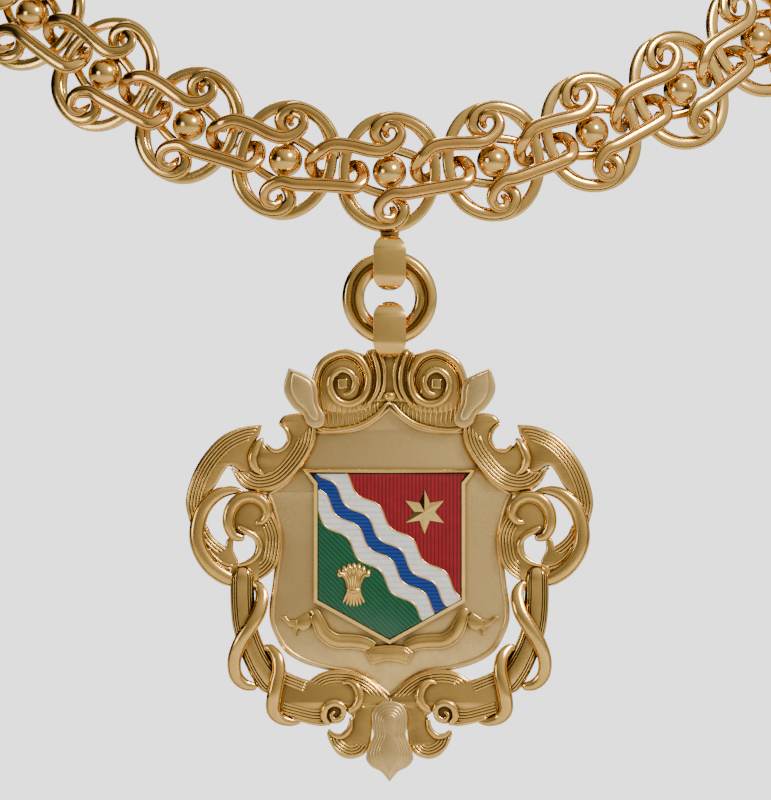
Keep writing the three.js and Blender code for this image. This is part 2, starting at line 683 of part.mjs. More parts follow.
const onBadge = (solid) => atDrop(solid, badgeDrop, badgeBack);
const frameWithBail = onBadge(castFrame()).add(atDrop(bail(), lowerBailMiddle));
pendant.add(makeMesh('badge_frame_with_bail', frameWithBail, gold));
pendant.add(makeMesh('field_plate', onBadge(plate(bothSides(fieldOutline), fieldBack, fieldFront)), paleGold));
for (const [name, side] of [['right', 1], ['left', -1]]) {
  const outline = side === 1 ? leafBudOutline : mirrored(leafBudOutline);
  pendant.add(makeMesh(`leaf_bud_${name}`, onBadge(plate(outline, 4.2, 5.8)), paleGold));
}
pendant.add(makeMesh('drop_bud', onBadge(plate(bothSides(dropBudOutline), 4.2, 6.2)), paleGold));
for (const [name, solid, finish] of shieldPieces()) {
  pendant.add(makeMesh(name, onBadge(solid), finish));
}
pendant.add(makeMesh('gold_star', onBadge(star(6, 5.2, 2.6, 8.4, 8.0)), gold));
pendant.add(makeMesh('gold_sheaf', onBadge(sheaf(-8.6, -9.6)), gold));
pendant.add(makeMesh('blank_ribbon', onBadge(ribbon()), gold));

const chainOfOffice = new THREE.Group();
chainOfOffice.add(collar, pendant);

export default chainOfOffice;
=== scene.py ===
# A gold chain of office: a collar of oval roundels and S-shaped links, a hanging ring and a
# scrolled badge with an enamelled shield. Sizes are in millimetres unless a note says otherwise.
import bpy
from math import atan2, cos, pi, radians, sin, sqrt
from mathutils import Matrix, Vector


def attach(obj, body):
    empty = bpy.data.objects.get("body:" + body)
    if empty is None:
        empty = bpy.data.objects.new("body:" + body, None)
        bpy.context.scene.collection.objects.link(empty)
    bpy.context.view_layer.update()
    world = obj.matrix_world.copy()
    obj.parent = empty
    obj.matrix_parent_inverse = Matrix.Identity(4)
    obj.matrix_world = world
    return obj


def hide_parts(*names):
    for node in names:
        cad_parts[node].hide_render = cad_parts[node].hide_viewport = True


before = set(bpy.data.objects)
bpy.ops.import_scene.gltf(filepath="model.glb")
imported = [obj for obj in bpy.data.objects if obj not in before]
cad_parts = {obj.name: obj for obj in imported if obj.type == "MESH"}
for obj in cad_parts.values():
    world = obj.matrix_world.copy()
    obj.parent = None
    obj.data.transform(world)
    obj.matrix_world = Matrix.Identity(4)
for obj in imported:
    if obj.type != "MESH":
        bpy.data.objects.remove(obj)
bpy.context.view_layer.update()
mm = 0.001
weldDistance = 0.004
thinnestTip = 0.05

route = {
    "roundels": 36,
    "frontReach": 3,          # roundels on each side of the middle one that are pieces of their own
    "stretches": 15,
    "halfWidth": 142.0,
    "halfDepth": 123.5,
    "shoulderRise": 120.0,
    "napeDrop": 24.0,
    "riseRate": 1.74,
    "lilt": 28.0,             # the left half of the front hangs a little higher
    "shoulderLean": radians(50),
    "napeLean": radians(28),
}


# Small tools, used by every piece.

def leaveEdit():
    bpy.ops.object.mode_set(mode="OBJECT")


def deselectAll():
    if bpy.context.object and bpy.context.object.mode != "OBJECT":
        leaveEdit()
    bpy.ops.object.select_all(action="DESELECT")


def pick(piece):
    deselectAll()
    piece.select_set(True)
    bpy.context.view_layer.objects.active = piece
    return piece


def editAll(piece):
    pick(piece)
    bpy.ops.object.mode_set(mode="EDIT")
    bpy.ops.mesh.select_all(action="SELECT")


def editNone(piece, kind="FACE"):
    editAll(piece)
    bpy.ops.mesh.select_all(action="DESELECT")
    bpy.ops.mesh.select_mode(type=kind)
    leaveEdit()


def selectFaces(piece, test):
    editNone(piece)
    for face in piece.data.polygons:
        face.select = test(face)
    bpy.ops.object.mode_set(mode="EDIT")


def tidyMesh(piece, smoothAngle=40):
    editAll(piece)
    bpy.ops.mesh.remove_doubles(threshold=weldDistance * mm)
    bpy.ops.mesh.normals_make_consistent(inside=False)
    leaveEdit()
    bpy.ops.object.shade_smooth_by_angle(angle=radians(smoothAngle))
    return piece


def place(piece, matrix):
    pick(piece)
    piece.matrix_world = matrix
    bpy.ops.object.transform_apply(location=True, rotation=True, scale=True)
    return piece


def copyOf(piece):
    pick(piece)
    bpy.ops.object.duplicate(linked=False)
    return bpy.context.object


def joined(pieces, name):
    pick(pieces[0])
    for piece in pieces:
        piece.select_set(True)
    if len(pieces) > 1:
        bpy.ops.object.join()
    whole = bpy.context.object
    whole.name = name
    whole.data.name = name
    return whole


# Puts a piece made by an operator at its own place into its mesh.
def settled():
    piece = bpy.context.object
    return place(piece, piece.matrix_world.copy())


def addBevel(piece, width, angle=30):
    bevel = piece.modifiers.new("edges", "BEVEL")
    bevel.width = width * mm
    bevel.segments = 2
    bevel.limit_method = "ANGLE"
    bevel.angle_limit = radians(angle)


def addTrim(piece, shape):
    cut = piece.modifiers.new("trim", "BOOLEAN")
    cut.operation = "INTERSECT"
    cut.object = shape
    cut.solver = "EXACT"


def applyModifiers(piece):
    pick(piece)
    for modifier in list(piece.modifiers):
        bpy.ops.object.modifier_apply(modifier=modifier.name)


def mirroredCopy(piece):
    other = copyOf(piece)
    place(other, Matrix.Scale(-1, 4, Vector((1, 0, 0))))
    editAll(other)
    bpy.ops.mesh.normals_make_consistent(inside=False)
    leaveEdit()
    return other


# A smooth line through rows of numbers. Where corners[k] is true the line turns sharply.
def smoothRows(rows, steps, closed=False, corners=None):
    count = len(rows)
    line = []
    for k in range(count if closed else count - 1):
        here, there = rows[k], rows[(k + 1) % count]
        before = rows[(k - 1) % count] if closed or k > 0 else here
        after = rows[(k + 2) % count] if closed or k < count - 2 else there
        if corners and corners[k]:
            before = here
        if corners and corners[(k + 1) % count]:
            after = there
        for step in range(steps):
            t = step / steps
            line.append([
                0.5 * (2 * b + (c - a) * t + (2 * a - 5 * b + 4 * c - d) * t * t
                       + (3 * b - a - 3 * c + d) * t ** 3)
                for a, b, c, d in zip(before, here, there, after)
            ])
    if not closed:
        line.append(list(rows[-1]))
    return line


def sharpCorners(rows):
    return [len(row) > 2 for row in rows]


# Thins both ends of a line to a round tip. The last column is the half width.
def roundTips(line, start=True, end=True):
    along = [0.0]
    for a, b in zip(line, line[1:]):
        along.append(along[-1] + (Vector(b[:3]) - Vector(a[:3])).length)
    out = []
    for row, here in zip(line, along):
        half = row[3]
        reach = min(here if start else half, along[-1] - here if end else half, half)
        out.append(row[:3] + [max(thinnestTip, half * sqrt(max(0.0, 1 - (1 - reach / half) ** 2)))])
    return out


def curveFrom(points, closed, flat):
    deselectAll()
    bpy.ops.curve.primitive_nurbs_path_add()
    piece = bpy.context.object
    piece.data.splines.clear()
    line = piece.data.splines.new("POLY")
    line.points.add(len(points) - 1)
    for spot, row in zip(line.points, points):
        spot.co = (row[0] * mm, row[1] * mm, row[2] * mm, 1)
        spot.radius = row[3]
    line.use_cyclic_u = closed
    piece.data.dimensions = "2D" if flat else "3D"
    return piece


# The cross section that a strand is drawn with: across and up, for a half width of one.
def profileFrom(name, points):
    shape = curveFrom([(x, y, 0, 1) for x, y in points], True, True)
    shape.name = name
    shape.data.fill_mode = "NONE"
    return shape


def strand(rows, profile, steps=5, closed=False, tips=(True, True), smoothAngle=40):
    line = smoothRows(rows, steps, closed)
    if not closed:
        line = roundTips(line, *tips)
    piece = curveFrom(line, closed, False)
    piece.data.twist_mode = "Z_UP"
    piece.data.bevel_mode = "OBJECT"
    piece.data.bevel_object = profile
    piece.data.use_fill_caps = not closed
    bpy.ops.object.convert(target="MESH")
    return tidyMesh(bpy.context.object, smoothAngle)


# A flat plate with rounded edges. Rows: x, y and, for a sharp corner, a 1.
def plate(outline, back, front, edge=0.3, steps=4):
    line = smoothRows([[row[0], row[1], 0, 1] for row in outline], steps, True, sharpCorners(outline))
    piece = curveFrom(line, True, True)
    piece.data.fill_mode = "BOTH"
    piece.data.extrude = ((front - back) / 2 - edge) * mm
    piece.data.bevel_depth = edge * mm
    piece.data.bevel_resolution = 2
    piece.data.offset = -edge * mm
    bpy.ops.object.convert(target="MESH")
    piece = tidyMesh(bpy.context.object)
    return place(piece, Matrix.Translation((0, 0, (front + back) / 2 * mm)))


def bothSides(outline):
    return outline + [[-row[0], *row[1:]] for row in reversed(outline) if row[0] != 0]


# Cuts off all that lies behind a plane and closes the cut.
def cutBack(piece, depth):
    editAll(piece)
    bpy.ops.mesh.bisect(plane_co=(0, 0, depth * mm), plane_no=(0, 0, 1), clear_inner=True,
                        use_fill=True)
    leaveEdit()
    return tidyMesh(piece)


# A section's top is a rounded arch, and its skirt reaches down behind it.
roundness = 2.4
skirtHalf = 0.96


def domePoints(top, skirt, count, grooves=(), grooveDepth=0.12, grooveHalf=0.07):
    spots = set(cos(pi * k / count) for k in range(count + 1))
    for middle in grooves:
        spots.update((middle - grooveHalf, middle, middle + grooveHalf))
    points = []
    for across in sorted(spots, reverse=True):
        up = top * sqrt(max(0.0, 1 - abs(across) ** roundness))
        if any(abs(across - middle) < 0.5 * grooveHalf for middle in grooves):
            up -= grooveDepth
        points.append((across, up))
    return points + [(-skirtHalf, -skirt), (skirtHalf, -skirt)]


# Top, skirt, points across, then the grooves: where, how deep, half width
sections = {
    "dome": (0.7, 2.6, 10),
    "rimmed": (0.62, 2.6, 12, (-0.74, 0.74), 0.1),
    "reeded": (0.5, 2.6, 12, (-0.84, -0.66, -0.48, 0.48, 0.66, 0.84), 0.1, 0.05),
    "reed": (0.8, 1.5, 6),
}
profiles = {name: profileFrom(name + "Section", domePoints(*row)) for name, row in sections.items()}
# An S-link has a closed section, rounded behind as well.
linkSection = domePoints(0.62, 0.0, 12, (-0.66, 0.66), 0.12, 0.09)[:-2]
linkSection += [(-0.75, -0.36), (0, -0.55), (0.75, -0.36)]
profiles["link"] = profileFrom("linkSection", linkSection)
print("profiles ready")


# Where the roundels stand, round the shoulders and the nape.

def blend(away, front, shoulder, nape):
    crest = pi / route["riseRate"]
    if away < crest:
        return front + (shoulder - front) * (1 - cos(route["riseRate"] * away)) / 2
    past = (away - crest) / (pi - crest)
    return shoulder + (nape - shoulder) * (1 - cos(pi * past)) / 2


def routePoint(part):
    turn = 2 * pi * (part if part < 0.5 else part - 1)
    away = abs(turn)
    lilt = route["lilt"] * sin(turn) ** 3 * cos(turn) ** 2 if away < pi / 2 else 0
    height = blend(away, -route["shoulderRise"], 0, -route["napeDrop"]) - lilt
    return Vector((route["halfWidth"] * sin(turn), -route["halfDepth"] * cos(turn), height))


def evenPlaces(count, divisions=2000):
    marks = [routePoint(k / divisions) for k in range(divisions + 1)]
    lengths = [0.0]
    for a, b in zip(marks, marks[1:]):
        lengths.append(lengths[-1] + (b - a).length)
    places, k = [], 0
    for i in range(count):
        target = lengths[-1] * i / count
        while lengths[k + 1] <= target:
            k += 1
        share = (target - lengths[k]) / (lengths[k + 1] - lengths[k])
        places.append(routePoint((k + share) / divisions))
    return places


def frameFrom(origin, along, face):
    face = (face - along * face.dot(along)).normalized()
    up = face.cross(along)
    matrix = Matrix((along, up, face)).transposed().to_4x4()
    matrix.translation = origin
    return matrix


def roundelFrames():
    places = evenPlaces(route["roundels"])
    frames = []
    for i, origin in enumerate(places):
        along = (places[(i + 1) % len(places)] - places[i - 1]).normalized()
        if i == 0:
            along = Vector((1, 0, 0))
        away = 2 * pi * min(i, len(places) - i) / len(places)
        lean = blend(away, 0, route["shoulderLean"], route["napeLean"])
        face = along.cross(Vector((0, 0, 1))).normalized() * cos(lean) + Vector((0, 0, sin(lean)))
        frames.append(frameFrom(origin, along, face))
    return frames


def halfwayFrame(left, right):
    along = (right.translation - left.translation).normalized()
    face = left.col[2].to_3d() + right.col[2].to_3d()
    return frameFrom((left.translation + right.translation) / 2, along, face)


def inMetres(matrix):
    scaled = matrix.copy()
    scaled.translation = matrix.translation * mm
    return scaled


frames = roundelFrames()


roundel = {
    "halfWidth": 12.3,
    "halfHeight": 14.6,
    "bandWidth": 2.7,
    "bandDepth": 2.0,
    "bandEdge": 0.5,
    "ballRadius": 4.1,
    "ballLift": 0.8,
    "cupRadius": 3.3,
    "cupHalf": 0.6,
    # x, y, lift, half width: from the right side over the top, round a curl and back as a bar
    "loop": [
        [11.3, 2.4, -0.3, 1.4], [10.7, 5.6, 0.3, 1.6], [9.0, 8.9, 0.7, 1.65], [5.9, 11.5, 0.9, 1.65],
        [1.9, 12.8, 1.0, 1.65], [-1.5, 12.2, 1.1, 1.65], [-3.4, 10.0, 1.1, 1.6], [-2.9, 7.8, 0.9, 1.45],
        [-1.0, 6.2, 0.6, 1.25], [1.6, 5.3, 0.2, 1.15], [5.0, 4.2, 0.0, 1.15], [9.0, 2.2, -0.1, 1.15],
    ],
    "seat": [[1.5, 5.6, 1], [0.9, 4.4], [0.8, 0.0], [0.9, -4.4], [1.5, -5.6, 1]],
    "seatBack": -1.0,
    "seatFront": 0.0,
    "seatEdge": 0.2,
}


def makeBand():
    deselectAll()
    bpy.ops.mesh.primitive_cylinder_add(vertices=64, radius=1, depth=roundel["bandDepth"] * mm)
    band = bpy.context.object
    editAll(band)
    bpy.ops.transform.resize(value=(roundel["halfWidth"] * mm, roundel["halfHeight"] * mm, 1))
    selectFaces(band, lambda face: abs(face.normal.z) > 0.9)
    bpy.ops.mesh.inset(thickness=roundel["bandWidth"] * mm)
    bpy.ops.mesh.bridge_edge_loops()
    leaveEdit()
    addBevel(band, roundel["bandEdge"])
    applyModifiers(band)
    return tidyMesh(band, 50)


def makeBall():
    deselectAll()
    bpy.ops.mesh.primitive_uv_sphere_add(segments=28, ring_count=16,
                                         radius=roundel["ballRadius"] * mm,
                                         location=(0, 0, roundel["ballLift"] * mm))
    ball = tidyMesh(settled())
    deselectAll()
    bpy.ops.mesh.primitive_torus_add(major_segments=36, minor_segments=8,
                                     major_radius=roundel["cupRadius"] * mm,
                                     minor_radius=roundel["cupHalf"] * mm)
    return [ball, tidyMesh(bpy.context.object)]


def makeRoundel():
    loop = strand(roundel["loop"], profiles["link"], 4)
    other = copyOf(loop)
    place(other, Matrix.Rotation(pi, 4, "Z"))
    seat = plate(bothSides(roundel["seat"]), roundel["seatBack"], roundel["seatFront"],
                 roundel["seatEdge"], 3)
    return joined([makeBand(), loop, other, seat, *makeBall()], "roundelPattern")


# An S-link: its hook lies on the near roundel, its span halfway and its curl on the far roundel.
link = {
    # x, y, lift, half width
    "hook": [
        [11.8, 0.8, -2.9, 0.9], [9.9, -0.8, -2.9, 1.25], [8.2, -1.7, -1.8, 1.5], [6.7, -0.8, 0.5, 1.6],
        [6.4, 1.4, 2.5, 1.65], [8.0, 3.6, 3.7, 1.7],
    ],
    "span": [[-1.6, 4.8, 4.4, 1.75], [3.2, 5.1, 4.5, 1.75]],
    "curl": [
        [-4.2, 5.1, 4.3, 1.75], [-1.0, 5.2, 4.2, 1.7], [1.7, 6.9, 3.9, 1.55], [2.7, 9.0, 3.6, 1.4],
        [1.8, 11.0, 3.3, 1.2], [-0.2, 11.2, 2.9, 1.05], [-1.0, 9.6, 2.0, 0.9], [-0.3, 8.2, 0.2, 0.7],
    ],
    "steps": 5,
}


def makeLink(left, right, lower):
    halfway = halfwayFrame(left, right)
    near, far = (right, left) if lower else (left, right)
    back = halfway.inverted()
    way = -1 if lower else 1
    rows = []
    for matrix, table in ((near, link["hook"]), (halfway, link["span"]), (far, link["curl"])):
        for x, y, lift, half in table:
            spot = back @ (matrix @ Vector((way * x, way * y, lift)))
            rows.append([*spot, half])
    return place(strand(rows, profiles["link"], link["steps"]), inMetres(halfway))


def finish(piece, material, body, slot, *nodes):
    piece.data.materials.clear()
    piece.data.materials.append(material)
    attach(piece, body)
    if nodes:
        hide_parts(*nodes)


def makeCollar(gold, redGold):
    pattern = makeRoundel()
    count, reach = route["roundels"], route["frontReach"]
    fullMeshes = {}
    for i in range(count):
        fullMeshes[i] = place(copyOf(pattern), inMetres(frames[i]))
    for i in range(-reach, reach + 1):
        piece = fullMeshes[i % count]
        side = f"left_{-i}" if i < 0 else f"right_{i}"
        node = "middle_roundel_with_bail" if i == 0 else f"roundel_{side}"
        piece.name = "piece_" + node
        finish(piece, gold, "collar", "gold", node)
    for i in range(-reach, reach):
        side = f"left_{-i}" if i < 0 else f"right_{i + 1}"
        for height in ("upper", "lower"):
            piece = makeLink(frames[i % count], frames[(i + 1) % count], height == "lower")
            node = f"s_link_{side}_{height}"
            piece.name = "piece_" + node
            finish(piece, redGold, "collar", "red_gold", node)
    first, last = reach + 1, count - reach
    stretches = route["stretches"]
    starts = [first + int(k * (last - first) / stretches + 0.5) for k in range(stretches + 1)]
    for k in range(stretches):
        members = [fullMeshes[i] for i in range(starts[k], starts[k + 1])]
        joints = list(range(starts[k], starts[k + 1])) + ([last] if k == stretches - 1 else [])
        for i in joints:
            members += [makeLink(frames[i - 1], frames[i % count], lower) for lower in (False, True)]
        piece = joined(members, f"stretch_{k + 1}")
        finish(piece, gold, "collar", "gold", f"collar_stretch_{k + 1}")
    deselectAll()
    bpy.data.objects.remove(pattern)


# The ring and its two bails
hanging = {
    "ringOuter": 11.4,
    "ringInner": 6.1,
    "ringDepth": 1.4,
    "ringDrop": 30.2,          # below the middle roundel
    # one side of the ring's section, from its inner to its outer edge, for a half width of one
    "ringFace": [(-1, 0.1), (-0.9, 0.75), (-0.72, 1.0), (-0.28, 1.0), (-0.2, 0.8), (-0.06, 0.42),
                 (0.1, 0.42), (0.24, 0.8), (0.32, 1.0), (0.66, 1.0), (0.88, 0.72), (1, 0.1)],
    "bailWidth": 7.9,
    "bailHeight": 13.5,
    "bailDepth": 11.0,
    "bailWall": 1.5,
    "bailCorner": 3.8,
    "bailDome": 1.1,
    "bailEdge": 0.25,
    "bailPoints": 28,
    "ringPoints": 16,
    "upperBail": 21.7,
    "lowerBail": 37.8,
    "solder": [[-2.4, -13.6, 1], [2.4, -13.6, 1], [2.2, -15.8, 1], [-2.2, -15.8, 1]],
    "solderDepth": 1.8,
    "solderEdge": 0.2,
}
badge = {
    "drop": 89.5,
    "back": -2.6,
    "castBack": 1.1,
    "scrollBack": 0.02,        # the first scroll's back, above the cast back
    "backStep": 0.04,          # from one back to the next, so that no two share a plane
}


# Stands a flat drawing up in front of the wearer, at a drop below the middle roundel.
def standUp(drop, depth=0.0):
    return inMetres(frames[0] @ Matrix.Translation((0, -drop, depth)))


def onBadge(piece):
    return place(piece, standUp(badge["drop"], badge["back"]))


def makeRing():
    outer, inner, depth = hanging["ringOuter"], hanging["ringInner"], hanging["ringDepth"]
    middle, half = (outer + inner) / 2, (outer - inner) / 2
    rise = depth / half
    face = hanging["ringFace"]
    wholeFace = face + [(x, -y) for x, y in reversed(face)]
    section = profileFrom("ringSection", [(x, y * rise) for x, y in wholeFace])
    count = hanging["ringPoints"]
    turns = [2 * pi * k / count for k in range(count)]
    around = [[middle * cos(turn), middle * sin(turn), 0, half] for turn in turns]
    ring = place(strand(around, section, 5, True), standUp(hanging["ringDrop"]))
    bpy.data.objects.remove(section)
    ring.name = "piece_hanging_ring"
    return ring


# Squares an oval off a little, so that a bail has long straight sides and tight ends.
def softened(value):
    return (abs(value) ** 0.5) * (1 if value > 0 else -1)


def makeBail(drop):
    wide, tall, deep = hanging["bailWidth"] / 2, hanging["bailHeight"] / 2, hanging["bailDepth"] / 2
    wall = hanging["bailWall"] / 2
    outerSide = [(wall - hanging["bailDome"] * (k / 5) ** 2, wide * k / 5) for k in range(-5, 6)]
    section = profileFrom("bailSection", outerSide + [(-wall, wide), (-wall, -wide)])
    middleTall, middleDeep = tall - wall, deep - wall
    around = []
    for k in range(hanging["bailPoints"]):
        turn = 2 * pi * k / hanging["bailPoints"]
        around.append([middleTall * softened(cos(turn)), -middleDeep * softened(sin(turn)), 0, 1])
    band = strand(around, section, 2, True, smoothAngle=50)
    bpy.data.objects.remove(section)
    # Turned to stand upright, with its width from side to side.
    place(band, Matrix(((0, 0, 1, 0), (1, 0, 0, 0), (0, 1, 0, 0), (0, 0, 0, 1))))
    deselectAll()
    bpy.ops.mesh.primitive_cube_add(size=1, scale=(2 * wide * mm, 2 * tall * mm, 4 * deep * mm))
    trim = settled()
    editNone(trim, "EDGE")
    for edge in trim.data.edges:
        a, b = (trim.data.vertices[v].co for v in edge.vertices)
        edge.select = abs(a.z - b.z) > deep * mm
    bpy.ops.object.mode_set(mode="EDIT")
    bpy.ops.mesh.bevel(offset=hanging["bailCorner"] * mm, segments=9)
    leaveEdit()
    addTrim(band, trim)
    addBevel(band, hanging["bailEdge"], 50)
    applyModifiers(band)
    bpy.data.objects.remove(trim)
    tidyMesh(band, 45)
    return place(band, standUp(drop))


# The badge's cast frame, drawn on its right half: profile, then x, y, half width, crest above the cast back.
scrolls = {
    "side": ("rimmed", [
        [34.6, 12.3, 0.5, 2.4], [37.4, 13.1, 1.0, 2.7], [40.8, 12.4, 1.5, 3.0], [43.8, 10.0, 1.8, 3.1],
        [45.6, 6.6, 1.9, 3.1], [46.2, 2.0, 1.9, 3.1], [45.2, -1.8, 1.95, 3.1], [42.8, -5.3, 1.95, 3.0],
        [39.4, -7.7, 1.9, 2.6], [36.6, -8.6, 1.5, 2.2],
    ]),
    "comma": ("rimmed", [
        [32.4, 5.4, 0.5, 3.2], [30.4, 5.7, 0.8, 3.6], [29.3, 7.6, 1.1, 3.9], [30.2, 10.1, 1.3, 4.0],
        [32.8, 11.6, 1.4, 4.0], [36.0, 11.0, 1.5, 3.95], [38.2, 8.4, 1.5, 3.9], [38.6, 4.8, 1.4, 3.8],
        [37.2, 2.2, 1.2, 3.5], [34.7, 1.6, 0.7, 3.2],
    ]),
    "lobeWall": ("dome", [
        [36.4, 4.4, 0.4, 3.3], [34.4, 3.3, 0.75, 3.6], [32.3, 2.0, 0.8, 3.4], [31.2, 0.0, 0.8, 3.3],
        [31.9, -2.4, 0.75, 3.2], [33.9, -4.1, 0.65, 3.1], [36.6, -4.9, 0.4, 2.8],
    ]),
    "scrollRoll": ("dome", [
        [30.3, 25.7, 0.5, 3.4], [31.7, 23.8, 0.8, 4.0], [32.9, 21.0, 1.0, 4.2], [32.2, 18.4, 0.8, 4.0],
        [30.2, 16.9, 0.25, 3.4],
    ]),
    "biteEdge": ("dome", [
        [26.6, 29.3, 0.3, 3.0], [24.8, 27.6, 0.5, 3.4], [24.2, 25.2, 0.5, 3.4], [25.6, 23.1, 0.5, 3.4],
        [27.8, 22.7, 0.5, 3.3], [29.6, 24.2, 0.3, 3.0],
    ]),
    "strap": ("reeded", [
        [35.3, -5.0, 2.8, 3.4], [35.3, -8.0, 2.85, 3.4], [35.3, -13.0, 2.9, 3.2], [34.8, -19.0, 2.9, 3.1],
        [33.2, -24.4, 2.95, 3.0], [30.9, -29.2, 3.2, 2.9], [28.4, -32.6, 3.6, 2.7], [26.6, -34.4, 4.1, 2.5],
    ]),
    "upperWrap": ("rimmed", [
        [33.2, -9.2, 0.7, 2.4], [31.6, -9.8, 1.2, 2.9], [30.6, -12.2, 1.6, 3.8], [31.3, -15.9, 1.7, 4.8],
        [33.4, -19.6, 1.75, 5.1], [35.7, -23.2, 1.75, 4.8], [37.2, -27.4, 1.65, 3.9], [36.9, -31.2, 1.6, 3.0],
        [34.7, -33.5, 1.4, 2.4], [31.7, -34.0, 0.9, 2.0],
    ]),
    "lowerWrap": ("rimmed", [
        [30.4, -24.6, 0.7, 2.4], [28.7, -24.9, 1.2, 3.2], [27.0, -26.9, 1.5, 4.3], [26.5, -30.2, 1.65, 4.9],
        [27.2, -33.6, 1.75, 5.1], [27.8, -36.9, 1.75, 4.9], [27.9, -39.7, 1.65, 4.0], [26.4, -41.6, 1.4, 3.0],
        [23.6, -42.5, 1.0, 2.4], [21.2, -42.2, 0.5, 2.0],
    ]),
    "footHook": ("dome", [
        [11.4, -33.2, 0.3, 3.0], [9.6, -32.8, 0.7, 3.4], [7.9, -34.0, 1.0, 3.8], [7.2, -36.4, 1.05, 3.9],
        [8.0, -38.6, 0.95, 3.8], [10.0, -40.0, 0.6, 3.4],
    ]),
    "footCurl": ("dome", [
        [14.2, -43.2, 0.5, 2.8], [15.7, -41.4, 0.8, 3.4], [15.3, -39.0, 0.9, 3.8], [13.2, -37.9, 0.9, 3.9],
        [11.2, -38.9, 0.8, 3.8], [11.3, -41.0, 0.65, 3.5],
        [13.1, -42.0, 0.55, 3.4], [14.0, -40.7, 0.45, 3.4], [13.0, -39.9, 0.35, 3.2],
    ]),
    "footBand": ("dome", [
        [23.4, -41.4, 0.4, 2.2], [19.8, -42.3, 0.6, 2.4], [16.4, -42.9, 0.6, 2.5], [14.2, -42.6, 0.4, 2.4],
    ]),
    "leafTip": ("dome", [
        [9.2, -41.2, 0.4, 3.0], [9.6, -44.0, 0.7, 3.3], [11.3, -45.8, 0.75, 3.2], [13.3, -45.6, 0.6, 3.0],
        [14.7, -44.2, 0.25, 2.6],
    ]),
    "volute": ("dome", [
        [16.5, 31.6, 0.35, 2.4], [17.8, 35.4, 0.7, 3.3], [17.9, 39.6, 0.8, 3.7], [15.9, 44.0, 0.85, 3.9],
        [11.3, 46.2, 0.85, 4.0], [7.4, 44.9, 0.8, 4.1], [5.4, 41.6, 0.75, 4.2], [5.2, 38.6, 0.8, 4.3],
        [6.4, 35.5, 0.85, 4.4], [9.4, 33.8, 0.9, 4.5], [12.5, 34.7, 0.9, 4.7], [14.2, 37.5, 0.85, 4.8],
        [13.9, 40.4, 0.8, 4.9], [11.5, 42.1, 0.75, 5.0], [9.1, 41.1, 0.7, 5.0], [8.4, 38.8, 0.6, 5.0],
        [9.4, 36.7, 0.5, 4.9], [11.1, 36.1, 0.35, 4.7],
    ]),
    "stemEdge": ("dome", [
        [2.7, 47.0, 0.5, 3.0], [1.5, 43.6, 0.45, 3.2], [1.1, 40.2, 0.4, 3.2], [1.6, 37.0, 0.45, 3.0],
        [3.0, 34.6, 0.4, 2.7],
    ]),
    "stemFlute": ("dome", [
        [4.2, 46.6, 0.5, 2.8], [3.0, 43.0, 0.6, 3.2], [2.6, 39.4, 0.6, 3.2], [3.3, 36.4, 0.55, 3.0],
        [5.4, 33.6, 0.4, 2.6],
    ]),
    "browEdge": ("dome", [
        [0.4, 34.3, 0.4, 2.4], [3.0, 31.2, 0.55, 2.6], [6.6, 28.9, 0.6, 2.6], [10.6, 27.8, 0.6, 2.6],
        [14.6, 27.4, 0.6, 2.6], [17.6, 28.2, 0.5, 2.4],
    ]),
}

